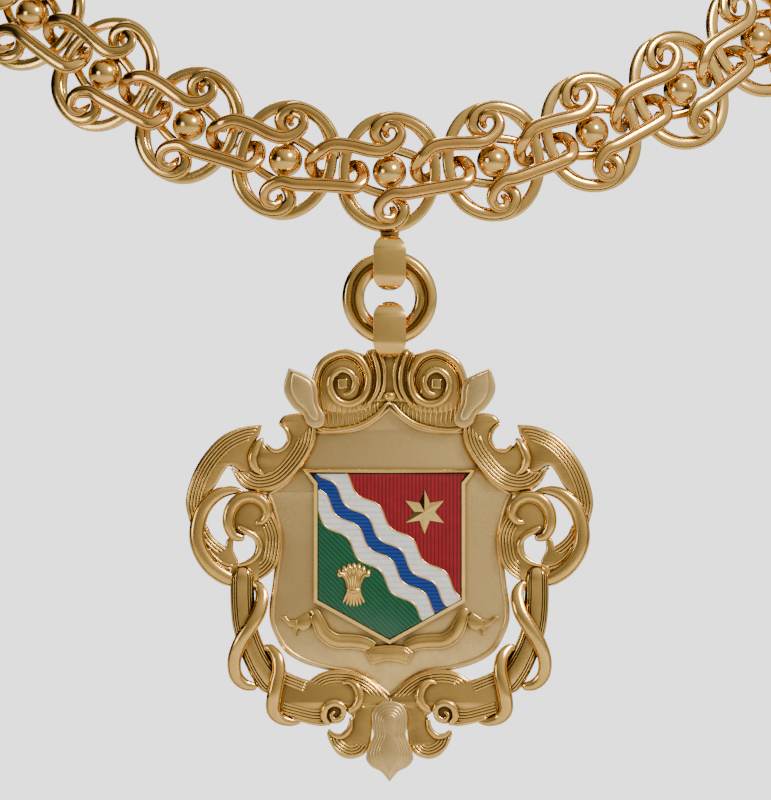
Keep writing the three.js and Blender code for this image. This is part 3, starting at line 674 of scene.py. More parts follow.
# Back, front, edge rounding and outline. A third value of 1 marks a sharp corner.
castPlates = {
    "brow": (1.1, 2.2, 0.2, [
        [0, 34.3, 1], [3, 31.2], [6.4, 28.9], [10.4, 27.7], [14.4, 27.3], [18.2, 28.4, 1], [18.2, 33.0, 1],
        [12, 35], [6, 36], [0, 36.4, 1],
    ]),
    "voluteBoss": (1.1, 2.4, 0.3, [
        [11.2, 46.6], [16.3, 44.4], [18.3, 39.2], [17.3, 33.4], [11.2, 31.6], [4.9, 33.0], [3.1, 38.9],
        [4.9, 45.0],
    ]),
    "coilBed": (1.6, 3.2, 0.3, [[11.5, 42.6], [14.9, 39.0], [12.1, 34.0], [7.9, 35.6], [7.5, 40.2]]),
    "eye": (2.4, 5.4, 0.35, [[10, 37.5, 1], [12.4, 37.4, 1], [12.5, 39.9, 1], [10.1, 40.0, 1]]),
    "claw": (1.1, 2.9, 0.5, [
        [45.2, 6.4, 1], [43.6, 4.4], [42.8, 2.6], [41.3, 0.9], [39.5, -0.3, 1], [39.2, 1.0], [38.3, 2.1, 1],
        [37.5, 1.0], [37.5, -1.2], [36.3, -3.8, 1], [36.6, -5.6, 1], [39.6, -7.2], [42.8, -5.0], [45.0, -1.6],
        [46.0, 2.0, 1],
    ]),
    "upperScroll": (1.1, 3.6, 0.7, [
        [17.5, 28.1, 1], [18.2, 23.8], [21.4, 18.5], [26.2, 13.9], [31.7, 12.6], [35.9, 14.4],
        [38.4, 19.2, 1], [36.0, 17.7], [33.4, 18.4], [33.9, 21.5], [32.8, 24.4], [30.8, 25.8, 1],
        [29.6, 23.7], [27.5, 22.9],
        [25.6, 23.6], [24.3, 25.8], [24.9, 28.0], [26.6, 29.4, 1], [25.4, 31.0], [22.6, 31.7],
        [18.4, 31.4, 1],
    ]),
    "outerLeaf": (1.1, 3.1, 0.6, [
        [30.6, 28.9, 1], [35.0, 28.5], [39.6, 26.6], [43.2, 23.4], [46.4, 18.8], [48.4, 13.6], [48.9, 9.4],
        [47.8, 4.9, 1], [46.0, 8.5], [43.6, 12.0], [41.7, 14.2], [39.9, 17.3], [38.2, 19.0], [35.2, 17.2],
        [33.0, 17.9], [33.6, 21.5], [32.3, 24.6], [31.2, 26.4, 1],
    ]),
    "lobe": (1.1, 3.3, 0.6, [
        [32.6, -9.2, 1], [28.9, -7.0], [26.7, -4.0], [25.9, 0], [26.1, 3], [27.0, 5.6], [28.4, 8.4],
        [30.5, 10.8], [29.0, 12.6, 1], [31.6, 13.4], [36.0, 11.6], [37.4, 8.6], [38.4, 4.4, 1], [36.6, 2.2],
        [33.6, 2.4], [32.4, 0.8], [32.4, -1.4], [33.4, -3.0], [35.6, -4.2], [38.2, -4.8, 1], [39.4, -9.0, 1],
    ]),
    "foot": (1.1, 2.9, 0.5, [
        [27.6, -29.0, 1], [22.5, -31.4], [19.3, -32.5, 1], [16.4, -30.6], [12.4, -29.9], [7.4, -30.7],
        [3.4, -33.2], [0, -37.0, 1], [0, -41.0, 1], [3.6, -44.0, 1], [7.6, -42.0], [9.6, -40.6],
        [11.0, -39.4], [13.2, -38.4], [15.4, -39.8], [14.2, -43.2, 1], [18.0, -43.2], [22.4, -42.0],
        [27.4, -40.0, 1],
    ]),
    "curlBed": (1.1, 2.6, 0.2, [[13.4, -38.2], [15.4, -40.4], [14.2, -42.8], [11.4, -42.4], [10.6, -40.2]]),
    "footLeaf": (1.1, 3.0, 0.6, [
        [14.7, -44.2, 1], [13.2, -45.9], [11.0, -46.2], [9.3, -44.2], [9.0, -41.4], [7.6, -38.6, 1],
        [2.0, -38.0, 1], [3.9, -43.0], [4.6, -48.6, 1], [6.4, -50.5], [9.4, -51.4], [12.1, -50.5],
        [14.0, -48.2], [15.0, -45.6],
    ]),
}

# Fine reeds beside the plates' edges: the step between reeds, how many, the crest above the cast
# back, which side of the line they spread to, and the line.
reeds = {
    "upperScroll": (0.78, 5, 2.9, 1, [
        [18.2, 29.6], [18.9, 24.4], [22.0, 19.1], [26.4, 14.8], [31.4, 13.5], [35.2, 14.9], [37.4, 17.6],
    ]),
    "outerLeaf": (0.72, 5, 2.4, -1, [
        [31.6, 28.3], [35.0, 27.9], [39.2, 26.0], [42.7, 22.9], [45.8, 18.5], [47.7, 13.4], [48.3, 9.2],
        [47.7, 6.4],
    ]),
    "lobe": (0.74, 5, 2.6, -1, [
        [31.6, -8.4], [28.9, -6.4], [27.2, -3.8], [26.5, 0], [26.7, 3], [27.6, 5.6], [28.9, 7.6],
    ]),
    "foot": (0.7, 4, 2.2, 1, [
        [18.8, -32.9], [16.0, -31.2], [12.4, -30.6], [8.0, -31.3], [4.2, -33.4], [1.2, -36.4],
    ]),
    "footShoulder": (0.7, 4, 2.2, 1, [[26.6, -30.2], [24.4, -31.2], [21.8, -32.2], [19.6, -33.1]]),
    "footHem": (0.7, 4, 2.2, -1, [[26.0, -40.0], [22.4, -41.0], [18.6, -41.9], [16.2, -41.9]]),
    "leaf": (0.7, 4, 2.3, -1, [
        [14.3, -46.2], [13.4, -48.2], [11.7, -49.7], [9.3, -50.5], [6.9, -49.8], [5.4, -48.0],
    ]),
    "claw": (0.75, 3, 2.2, 1, [[44.2, 4.2], [43.0, 2.0], [41.3, 0.2], [39.2, -1.2]]),
    "clawRoot": (0.75, 2, 2.2, 1, [[43.6, -0.6], [42.0, -2.8], [39.8, -4.4], [37.4, -5.0]]),
    "coilOuter": (0.62, 3, 1.6, -1, [
        [16.3, 36.0], [16.5, 39.4], [14.9, 42.8], [11.3, 44.6], [8.4, 43.6], [6.7, 41.0], [6.6, 38.6],
        [7.5, 36.6],
    ]),
    "stem": (0.6, 2, 2.1, 1, [[5.4, 46.4], [4.2, 43.6], [3.7, 40.0], [4.2, 36.6], [6.4, 33.2]]),
}

# Back, front, edge rounding and outline of each layer.
leafBud = {
    "edge": (4.2, 5.2, 0.4, [
        [24.2, 42.5, 1], [25.4, 38.4], [24.9, 35.6], [22.9, 32.7], [20.8, 31.2], [19.9, 29.2], [17.9, 28.0],
        [15.9, 28.9], [15.5, 31.0], [17.0, 33.9], [17.2, 37.2], [18.2, 39.6], [20.6, 41.1],
    ]),
    "top": (4.6, 6.4, 0.6, [
        [23.5, 41.7, 1], [23.9, 37.8], [22.4, 34.4], [20.3, 32.3], [18.8, 30.2], [17.5, 29.8], [16.8, 31.0],
        [17.9, 34.2], [18.2, 37.3], [19.0, 39.3], [21.0, 40.6],
    ]),
}
dropBud = {
    "edge": [
        [0, -37.4], [2.6, -38.0], [4.2, -40.4], [4.2, -43.4], [3.9, -45.6], [5.0, -48.2], [5.7, -51.2],
        [4.3, -53.2], [2.0, -54.4], [0, -56.8, 1],
    ],
    "heart": [
        [0, -40.4], [1.2, -40.9], [1.8, -42.2], [1.5, -44.2], [1.3, -45.6], [2.1, -47.6], [2.7, -49.6],
        [2.2, -51.6], [1.0, -53.6], [0, -55.2, 1],
    ],
    # share of the way from the edge to the heart, front
    "steps": ((0.0, 5.2), (0.3, 5.6), (0.55, 6.0), (0.8, 6.4), (1.0, 6.9)),
    "back": 4.2,
    "thickness": 0.7,
    "rounding": 0.25,
}

# A reed's half width, as a share of the step between reeds, and how far its line lies below its crest
reedShare = 0.4
reedSunk = 0.2


def makeScroll(profileName, rows, back):
    lift, top = badge["castBack"], sections[profileName][0]
    line = [[x, y, lift + crest - top * half, half] for x, y, half, crest in rows]
    return cutBack(strand(line, profiles[profileName], 5), lift + back)


# Each reed lies one step further to the side than the last and is a little shorter.
def makeReeds(step, count, crest, side, rows):
    middle = smoothRows([[x, y] for x, y in rows], 5)
    pieces = []
    for k in range(count):
        line = []
        for i, (x, y) in enumerate(middle):
            before, after = middle[max(i - 1, 0)], middle[min(i + 1, len(middle) - 1)]
            along = Vector((after[0] - before[0], after[1] - before[1])).normalized()
            away = side * step * k
            line.append([x - away * along.y, y + away * along.x, badge["castBack"] + crest - reedSunk,
                         reedShare * step])
        inset = k if len(line) > 4 * count else 0
        pieces.append(strand(line[inset:len(line) - inset], profiles["reed"], 1))
    return pieces


# Slanting reeds of the brow, from its lower edge up to the coil: x, foot, top
brow = {
    "line": [[2.6, 31.9, 34.3], [5.4, 29.9, 33.6], [8.4, 28.7, 34.0], [12.2, 28.3, 34.0],
             [15.4, 28.9, 35.6], [16.8, 29.2, 37.0]],
    "hatches": 15,
    "slant": 0.17,
    "bow": 0.4,
    "lift": 2.3,
    "half": 0.28,
}
# The stem between the two volutes, and the knot at its foot
stem = {
    "outline": [[-6, 34.4, 1], [6, 34.4, 1], [6, 45.6], [2.6, 47.2, 1], [-2.6, 47.2, 1], [-6, 45.6]],
    "back": 1.13,
    "front": 2.9,
    "edge": 0.3,
    "knot": [[-1.5, 35.4, 3.6, 0.9], [0, 35.7, 4.0, 1.1], [1.5, 35.4, 3.6, 0.9]],
    "knotBack": 0.2,
}


def makeCastFrame():
    right = []
    for k, (back, front, edge, outline) in enumerate(castPlates.values()):
        right.append(plate(outline, back + badge["backStep"] * k, front, edge))
    for k, (profileName, rows) in enumerate(scrolls.values()):
        right.append(makeScroll(profileName, rows, badge["scrollBack"] + badge["backStep"] * k))
    for settings in reeds.values():
        right += makeReeds(*settings)
    for x, foot, top in smoothRows(brow["line"], 3)[:brow["hatches"]]:
        lean = brow["slant"] * (top - foot)
        spots = [(x, foot), (x + brow["bow"] * lean, (foot + top) / 2), (x + lean, top)]
        rows = [[*spot, brow["lift"], brow["half"]] for spot in spots]
        right.append(strand(rows, profiles["reed"], 2))
    half = joined(right, "castHalf")
    whole = joined([half, mirroredCopy(half)], "badge_frame")
    middle = plate(stem["outline"], stem["back"], stem["front"], stem["edge"])
    knot = cutBack(strand(stem["knot"], profiles["dome"], 4), badge["castBack"] + stem["knotBack"])
    return onBadge(joined([whole, middle, knot], "badge_frame"))


# The field behind the shield, with a bead round its edge, both drawn on the right half.
field = {
    "back": -0.9,
    "front": 0.8,
    "edge": 0.3,
    "beadLift": 0.75,
    "beadHalf": 0.6,
    "bead": [
        [0, 33.0, 1], [6.6, 28.2], [14.4, 27.2], [18.6, 27.6, 1], [19.3, 23.8], [22.0, 18.8], [25.0, 15.0],
        [29.2, 12.2, 1], [28.2, 10.2], [27.0, 6], [26.3, 2], [26.3, -1], [26.8, -5], [27.4, -10],
        [28.0, -14], [28.0, -18], [26.9, -21.3], [24.6, -25.0], [20.4, -27.7], [14.4, -29.5],
        [9.4, -30.5], [5.0, -32.6], [2.0, -34.6], [0, -36.3, 1],
    ],
    "outline": [
        [0, 34.0, 1], [6.4, 29.3], [14.4, 28.2], [18.6, 28.8, 1], [19.6, 24.2], [22.6, 19.4], [25.6, 15.8],
        [30.4, 12.8, 1], [29.2, 10.5], [28.0, 6], [27.2, 2], [27.2, -1], [27.6, -5], [28.2, -10],
        [28.8, -14], [28.8, -18], [27.6, -21.6], [25.2, -25.6], [20.8, -28.4], [14.6, -30.2],
        [9.6, -31.2], [5.4, -33.2], [2.4, -35.2], [0, -37.4, 1],
    ],
}


def makeBuds():
    right = joined([plate(outline, *sizes) for *sizes, outline in leafBud.values()], "leafRight")
    left = mirroredCopy(right)
    drop = []
    for share, front in dropBud["steps"]:
        line = []
        for (x, y, *sharp), (a, b, *_) in zip(dropBud["edge"], dropBud["heart"]):
            line.append([x + (a - x) * share, y + (b - y) * share, *sharp])
        back = dropBud["back"] if share == 0 else front - dropBud["thickness"]
        drop.append(plate(bothSides(line), back, front, dropBud["rounding"]))
    buds = {"leaf_bud_right": right, "leaf_bud_left": left, "drop_bud": joined(drop, "dropBud")}
    for name, piece in buds.items():
        piece.name = "piece_" + name
        onBadge(piece)
    return buds


shield = {
    "outline": [[0, 18.2, 1], [20.9, 18.2, 1], [18.2, 14.6, 1], [18.2, -13.7, 1], [0, -23.8, 1]],
    "cells": [[0, 17.1, 1], [18.4, 17.1, 1], [17.1, 14.9, 1], [17.1, -13.1, 1], [0, -22.5, 1]],
    "rim": 0.85,
    "edge": 0.12,
    "floor": 2.0,
    "top": 3.3,
    "enamelTop": 3.1,
    "enamelEdge": 0.05,
    # colour, then the lower and upper limit of each cell, measured square to the bend
    "bend": {
        "enamel_red": ("red", 5.45, 45),
        "enamel_bend_upper": ("white", 1.75, 5.25),
        "enamel_bend_middle": ("blue", -1.65, 1.55),
        "enamel_bend_lower": ("white", -5.25, -1.85),
        "enamel_green": ("green", -45, -5.45),
    },
    "wave": 0.9,
    "waveLength": 11.3,
    "waveStart": pi / 4,
    "bendReach": 34,
    "bendDrop": 2,
    "wires": (5.35, 1.65, -1.75, -5.35),
    "wireHalf": 0.22,
    "wireSunk": 0.1,
    "wireSide": 17.3,          # the wires end inside this half width and height
    "wireFoot": -22.3,
    "wireSlope": 0.55,
}


def wavyLine(offset, count=56):
    line, slant, reach = [], sqrt(0.5), shield["bendReach"]
    for k in range(count + 1):
        along = -reach + 2 * reach * k / count
        turn = along * 2 * pi / shield["waveLength"] + shield["waveStart"]
        across = offset + shield["wave"] * sin(turn)
        line.append((along * slant + across * slant, -shield["bendDrop"] - along * slant + across * slant))
    return line


def makeTray():
    tray = plate(bothSides(shield["outline"]), badge["castBack"], shield["top"], shield["edge"], 1)
    selectFaces(tray, lambda face: face.normal.z > 0.95)
    bpy.ops.mesh.inset(thickness=shield["rim"] * mm, depth=0)
    sink = (0, 0, -(shield["top"] - shield["floor"]) * mm)
    bpy.ops.mesh.extrude_region_move(TRANSFORM_OT_translate={"value": sink})
    leaveEdit()
    return tidyMesh(tray)


# One colour of the shield: its whole face, trimmed to the strip between two wavy lines.
def makeEnamel(name, low, high):
    floor, top = shield["floor"], shield["enamelTop"]
    cell = plate(bothSides(shield["cells"]), floor + 0.1, top, shield["enamelEdge"], 1)
    outline = [[x, y, 1] for x, y in wavyLine(low) + wavyLine(high)[::-1]]
    strip = plate(outline, floor - 1, top + 1, 0.01, 1)
    addTrim(cell, strip)
    applyModifiers(cell)
    bpy.data.objects.remove(strip)
    tidyMesh(cell)
    cell.name = "piece_" + name
    return onBadge(cell)


def insideShield(x, y):
    side = shield["wireSide"]
    return abs(x) < side and shield["wireFoot"] + abs(x) * shield["wireSlope"] < y < side


def makeWires():
    lift, half = shield["enamelTop"] - shield["wireSunk"], shield["wireHalf"]
    pieces = []
    for offset in shield["wires"]:
        rows = [[x, y, lift, half] for x, y in wavyLine(offset, 120) if insideShield(x, y)]
        pieces.append(strand(rows, profiles["reed"], 1, tips=(False, False)))
    return pieces


star = {"middle": (8.4, 8.0), "reach": 5.3, "height": 1.6, "lift": 1.0, "notch": 0.46}


# A low cone of twelve sides, with every other corner drawn in.
def makeStar():
    x, y = star["middle"]
    deselectAll()
    bpy.ops.mesh.primitive_cone_add(vertices=12, radius1=star["reach"] * mm, depth=star["height"] * mm,
                                    location=(x * mm, y * mm, (shield["enamelTop"] + star["lift"]) * mm))
    piece = settled()
    editNone(piece, "VERT")
    centre = Vector((x * mm, y * mm, 0))
    for vertex in piece.data.vertices:
        arm = vertex.co - centre
        turn = atan2(arm.y, arm.x) / (pi / 6)
        vertex.select = round(turn) % 2 == 0 and Vector((arm.x, arm.y)).length > mm
    bpy.ops.object.mode_set(mode="EDIT")
    bpy.ops.transform.resize(value=(star["notch"], star["notch"], 1), center_override=centre)
    leaveEdit()
    tidyMesh(piece, 10)
    piece.name = "piece_gold_star"
    return onBadge(piece)


sheaf = {
    "middle": (-8.6, -9.6),
    "stalks": (-3, -2, -1, 0, 1, 2, 3),
    "head": 5.4,
    "headBow": 0.18,
    "foot": -5.2,
    "footBow": 0.1,
    "waist": -1.1,
    # spread of the stalks, lift, half width: at the foot, waist, neck, below the ear and its tip
    "stations": [(0.85, 0, 0.3), (0.42, 0.5, 0.4), (0.75, 0.3, 0.4), (1.1, 0.2, 0.75), (1.2, 0, 0.3)],
    "neck": 2.2,
    "ear": 1.2,
    "tie": [(-1.8, 0, 0.5, 0.5), (0, -0.3, 0.9, 0.6), (1.8, 0, 0.5, 0.5)],
    "back": 0.05,
}


def makeSheaf():
    x, y = sheaf["middle"]
    top, waist = shield["enamelTop"], sheaf["waist"]
    lines = []
    for k in sheaf["stalks"]:
        head, foot = sheaf["head"] - sheaf["headBow"] * k * k, sheaf["foot"] + sheaf["footBow"] * k * k
        heights = (foot, waist, sheaf["neck"], head - sheaf["ear"], head)
        lines.append([[x + spread * k, y + height, top + lift, half]
                      for height, (spread, lift, half) in zip(heights, sheaf["stations"])])
    lines.append([[x + across, y + waist + up, top + lift, half] for across, up, lift, half in sheaf["tie"]])
    pieces = [cutBack(strand(line, profiles["dome"], 5), top + sheaf["back"]) for line in lines]
    return onBadge(joined(pieces, "piece_gold_sheaf"))


def makeField():
    face = plate(bothSides(field["outline"]), field["back"], field["front"], field["edge"])
    bead = bothSides(field["bead"])
    line = [[x, y, field["beadLift"], field["beadHalf"]] for x, y, *_ in bead]
    rim = strand(smoothRows(line, 5, True, sharpCorners(bead)), profiles["reed"], 1, True)
    return onBadge(joined([face, rim], "piece_field_plate"))


ribbon = {
    # x, y, crest over the cast back, half width
    "side": [
        [19.1, -16.0, 1.7, 0.5], [18.0, -16.3, 1.9, 1.1], [17.1, -18.4, 1.9, 1.55], [15.7, -21.2, 1.7, 1.75],
        [13.0, -23.0, 1.5, 1.8], [9.6, -23.2, 1.3, 1.75], [6.4, -23.6, 1.2, 1.7], [4.0, -24.8, 1.0, 1.6],
    ],
    "sink": 0.3,
    "edge": 0.2,
    # back, front, outline
    "fold": (1.1, 1.9, [
        [19.8, -16.2, 1], [22.2, -17.8], [22.5, -19.4, 1], [21.0, -20.5], [19.2, -19.6], [18.0, -17.6, 1],
    ]),
    "tail": (1.1, 1.7, [
        [21.6, -17.8, 1], [24.0, -18.1], [25.2, -17.0], [26.7, -17.5, 1], [25.6, -18.0], [24.3, -19.3],
        [23.3, -19.8, 1], [23.0, -20.8], [22.2, -22.1, 1], [22.3, -20.6], [21.4, -19.8, 1],
    ]),
    "middle": (1.1, 2.7, [[0, -24.0], [3.9, -24.4, 1], [5.8, -25.9, 1], [4.3, -28.8, 1], [0, -27.8]]),
    "panel": (2.4, 3.0, [[0, -24.7], [3.5, -25.0, 1], [4.9, -26.0, 1], [3.8, -27.8, 1], [0, -27.0]]),
    # the section's front, from one edge to the middle, and its back
    "halfSection": [(1, 0), (0.97, 0.2), (0.84, 0.24), (0.76, 0.08), (0.4, 0.16)],
    "sectionBack": [(-1, -0.9), (1, -0.9)],
}


def makeRibbon():
    side = ribbon["halfSection"]
    front = side + [(0, 0.2)] + [(-x, y) for x, y in reversed(side)]
    section = profileFrom("ribbonSection", front + ribbon["sectionBack"])
    lift = badge["castBack"]
    rows = [[x, y, lift + crest - ribbon["sink"], wide] for x, y, crest, wide in ribbon["side"]]
    half = [cutBack(strand(rows, section, 6, tips=(True, False)), lift)]
    for name in ("fold", "tail"):
        back, front, outline = ribbon[name]
        half.append(plate(outline, back, front, ribbon["edge"]))
    half = joined(half, "ribbonHalf")
    centre = []
    for name in ("middle", "panel"):
        back, front, outline = ribbon[name]
        centre.append(plate(bothSides(outline), back, front, ribbon["edge"]))
    whole = joined([half, mirroredCopy(half), *centre], "piece_blank_ribbon")
    bpy.data.objects.remove(section)
    return onBadge(whole)


# Each gold: its colour, the painted shade colour for its hollows and nooks, and its roughness.
metals = {
    "gold": {"colour": (0.95, 0.57, 0.15), "recess": (0.06, 0.025, 0.006), "roughness": 0.20},
    "redGold": {"colour": (0.93, 0.51, 0.13), "recess": (0.06, 0.022, 0.006), "roughness": 0.20},
    "paleGold": {"colour": (0.97, 0.65, 0.24), "recess": (0.08, 0.04, 0.01), "roughness": 0.32},
}
# Tarnish and scratches, painted shade in hollows and nooks, painted highlights on sharp edges. Each pair of
# stops: where, how bright.
wearAndPaintedLight = {
    # Painted shade in the hollows, then the painted highlight on edges and how strong it is.
    "hollowShade": ((0.40, 0.0), (0.49, 1.0)),
    "edge": ((0.52, 0.0), (0.62, 1.0)),
    "edgeHighlightStrength": 0.3,
    # Painted shade in nooks, from ambient occlusion, and how far it reaches.
    "nookShade": ((0.30, 0.0), (0.80, 1.0)),
    "nookShadeReach": 1.8,
    "patch": ((0.35, 0.72), (0.65, 1.0)),
    "tarnish": 0.55,
    "tarnishScale": 260.0,
    "tarnishRoughness": (0.16, -0.06),
    "scratchScale": 2600.0,
    "scratchStretch": (1, 1, 0.15),
    "scratchTurn": (0, radians(35), radians(20)),
    "bump": (0.02, 0.25),
}
enamels = {
    "red": {"colour": (0.30, 0.006, 0.012), "line": (0.13, 0.002, 0.005), "turn": 0, "pitch": 0.9},
    "green": {"colour": (0.005, 0.11, 0.04), "line": (0.002, 0.045, 0.018), "turn": 45, "pitch": 0.9},
    "blue": {"colour": (0.006, 0.04, 0.25), "line": (0.003, 0.016, 0.11), "turn": 90, "pitch": 0.9},
    "white": {"colour": (0.86, 0.84, 0.78), "line": (0.74, 0.71, 0.64), "turn": 90, "pitch": 1.4},
}
glaze = {
    "lines": ((0.12, 1.0), (0.4, 0.0)),
    "cloud": ((0.3, 0.75), (0.7, 1.0)),
    "cloudScale": 420.0,
    "cloudAmount": 0.7,
    "roughness": (0.08, 0.2),
    "coat": 0.3,
    "bump": (0.05, 0.1),
    "linesPerTurn": 20,
}


def newGroup(name, inputs, outputs):
    group = bpy.data.node_groups.new(name, "ShaderNodeTree")
    for label, kind, value in inputs:
        socket = group.interface.new_socket(label, in_out="INPUT", socket_type=kind)
        socket.default_value = value
    for label, kind in outputs:
        group.interface.new_socket(label, in_out="OUTPUT", socket_type=kind)
    given = group.nodes.new("NodeGroupInput").outputs
    return group, given, group.nodes.new("NodeGroupOutput").inputs


# Links an output to a socket, or sets the socket to a plain value.
def feed(tree, socket, value):
    if isinstance(value, bpy.types.NodeSocket):
        tree.links.new(value, socket)
    else:
        socket.default_value = value


def addNode(tree, kind, **settings):
    node = tree.nodes.new(kind)
    for key, value in settings.items():
        if key in node.inputs:
            feed(tree, node.inputs[key], value)
        else:
            setattr(node, key, value)
    return node


def ramp(tree, source, stops):
    node = addNode(tree, "ShaderNodeValToRGB", Fac=source)
    line = node.color_ramp
    while len(line.elements) < len(stops):
        line.elements.new(0.5)
    for element, (position, shade) in zip(line.elements, stops):
        element.position = position
        element.color = (shade, shade, shade, 1)
    return node.outputs["Color"]


def mapRange(tree, source, fromRange, toRange):
    node = addNode(tree, "ShaderNodeMapRange", Value=source)
    for label, value in zip(("From Min", "From Max", "To Min", "To Max"), (*fromRange, *toRange)):
        node.inputs[label].default_value = value
    return node.outputs["Result"]


def mixColours(tree, factor, first, second, blend="MIX"):
    node = addNode(tree, "ShaderNodeMix", data_type="RGBA", blend_type=blend)
    for k, value in ((0, factor), (6, first), (7, second)):
        feed(tree, node.inputs[k], value)
    return node.outputs[2]


def maths(tree, operation, first, second, clamp=False):
    node = addNode(tree, "ShaderNodeMath", operation=operation, use_clamp=clamp)
    feed(tree, node.inputs[0], first)
    feed(tree, node.inputs[1], second)
    return node.outputs[0]


lookOutputs = [("Colour", "NodeSocketColor"), ("Roughness", "NodeSocketFloat"), ("Height", "NodeSocketFloat")]


# Polished metal: painted shade in the hollows and nooks, painted highlights on sharp edges, with faint
# tarnish and scratches.
def makeMetalGroup():
    group, given, result = newGroup(
        "polishedGold",
        [("Colour", "NodeSocketColor", (1, 1, 1, 1)), ("RecessShade", "NodeSocketColor", (0, 0, 0, 1)),
         ("Roughness", "NodeSocketFloat", 0.25)], lookOutputs)
    where = group.nodes.new("ShaderNodeTexCoord").outputs["Object"]
    tarnish = addNode(group, "ShaderNodeTexNoise", Vector=where, Scale=wearAndPaintedLight["tarnishScale"], Detail=4.0,
                      Roughness=0.6)
    turned = addNode(group, "ShaderNodeMapping", Vector=where, Scale=wearAndPaintedLight["scratchStretch"],
                     Rotation=wearAndPaintedLight["scratchTurn"])
    scratches = addNode(group, "ShaderNodeTexNoise", Vector=turned.outputs["Vector"],
                        Scale=wearAndPaintedLight["scratchScale"], Detail=2.0, Roughness=0.7)
    pointiness = group.nodes.new("ShaderNodeNewGeometry").outputs["Pointiness"]
    nookShade = addNode(group, "ShaderNodeAmbientOcclusion", Distance=wearAndPaintedLight["nookShadeReach"] * mm, samples=6)
    # Painted shade: the recess colour wherever pointiness or ambient occlusion finds a hollow or nook.
    unshadedShare = maths(group, "MULTIPLY", ramp(group, pointiness, wearAndPaintedLight["hollowShade"]),
                  ramp(group, nookShade.outputs["AO"], wearAndPaintedLight["nookShade"]))
    patch = ramp(group, tarnish.outputs["Fac"], wearAndPaintedLight["patch"])
    toned = mixColours(group, wearAndPaintedLight["tarnish"], given["Colour"], patch, "MULTIPLY")
    dark = mixColours(group, unshadedShare, given["RecessShade"], toned)
    # Painted highlight: the gold's own colour screened over sharp edges.
    paintedEdgeHighlight = maths(group, "MULTIPLY", ramp(group, pointiness, wearAndPaintedLight["edge"]), wearAndPaintedLight["edgeHighlightStrength"])
    bright = mixColours(group, paintedEdgeHighlight, dark, given["Colour"], "SCREEN")
    dull = mapRange(group, patch, (0, 1), wearAndPaintedLight["tarnishRoughness"])
    group.links.new(bright, result["Colour"])
    group.links.new(maths(group, "ADD", given["Roughness"], dull, True), result["Roughness"])
    group.links.new(scratches.outputs["Fac"], result["Height"])
    return group


# Glassy enamel over engine-turned lines.
def makeEnamelGroup():
    group, given, result = newGroup(
        "engineTurnedEnamel",
        [("Colour", "NodeSocketColor", (1, 1, 1, 1)), ("Line", "NodeSocketColor", (0, 0, 0, 1)),
         ("Turn", "NodeSocketVector", (0, 0, 0)), ("Lines", "NodeSocketFloat", 500.0)], lookOutputs)
    where = group.nodes.new("ShaderNodeTexCoord").outputs["Object"]
    turned = addNode(group, "ShaderNodeMapping", Vector=where, Rotation=given["Turn"])
    wave = addNode(group, "ShaderNodeTexWave", wave_type="BANDS", bands_direction="X",
                   Vector=turned.outputs["Vector"], Scale=given["Lines"], Distortion=0.0)
    cloud = addNode(group, "ShaderNodeTexNoise", Vector=where, Scale=glaze["cloudScale"], Detail=3.0)
    cloudy = cloud.outputs["Fac"]
    lined = mixColours(group, ramp(group, wave.outputs["Fac"], glaze["lines"]), given["Colour"],
                       given["Line"])
    toned = mixColours(group, glaze["cloudAmount"], lined, ramp(group, cloudy, glaze["cloud"]), "MULTIPLY")
    group.links.new(toned, result["Colour"])
    group.links.new(mapRange(group, cloudy, (0, 1), glaze["roughness"]), result["Roughness"])
    group.links.new(cloudy, result["Height"])
    return group


def newMaterial(name, group, bump, look):
    material = bpy.data.materials.new(name)
    material.use_nodes = True
    tree = material.node_tree
    shader = tree.nodes["Principled BSDF"]
    source = addNode(tree, "ShaderNodeGroup", node_tree=group)
    for label, value in look.items():
        source.inputs[label].default_value = value
    distance, strength = bump
    raised = addNode(tree, "ShaderNodeBump", Strength=strength, Distance=distance * mm,
                     Height=source.outputs["Height"])
    tree.links.new(source.outputs["Colour"], shader.inputs["Base Color"])
    tree.links.new(source.outputs["Roughness"], shader.inputs["Roughness"])
    tree.links.new(raised.outputs["Normal"], shader.inputs["Normal"])
    return material, shader


def makeMaterials():
    made = {}
    group = makeMetalGroup()
    for name, metal in metals.items():
        # The recess colour is the painted shade for hollows and nooks.
        look = {"Colour": (*metal["colour"], 1), "RecessShade": (*metal["recess"], 1),
                "Roughness": metal["roughness"]}
        made[name], shader = newMaterial(name, group, wearAndPaintedLight["bump"], look)
        shader.inputs["Metallic"].default_value = 1.0
    group = makeEnamelGroup()
    for name, enamel in enamels.items():
        look = {"Colour": (*enamel["colour"], 1), "Line": (*enamel["line"], 1),
                "Turn": (0, radians(enamel["turn"]), 0),
                "Lines": 2 * pi / (glaze["linesPerTurn"] * enamel["pitch"] * mm)}
        made[name], shader = newMaterial(name + "Enamel", group, glaze["bump"], look)
        shader.inputs["Coat Weight"].default_value = glaze["coat"]
    return made


studio = {
    "middle": (-0.98, -123.5, -174.7),  # what the camera looks at
    "width": 185.04,                    # of the view, at the collar's front
    "away": 3000.0,
    "film": 36,
    "floor": -520.0,
    "floorColour": (0.82, 0.82, 0.81, 1),
    "soft": (1.0, 0.98, 0.95, 1),
    "brightSide": (0.62, -0.3, 0.72),
    "sideRange": (-0.12, 0.9),
    "softRange": (0.0, 0.85),           # from its darkest to its brightest
    "plain": (0.96, 0.96, 0.96, 1),
    "plainStrength": 2.4,
    # name, place in metres, size, power
    "lamps": (("key", (0.8, -1.2, 0.7), 0.4, 20), ("fill", (-1.2, -1.2, 0.0), 0.5, 4),
              ("rim", (-0.3, 1.0, 0.9), 0.5, 10)),
    "lampsAim": (0, -0.1, -0.17),
}


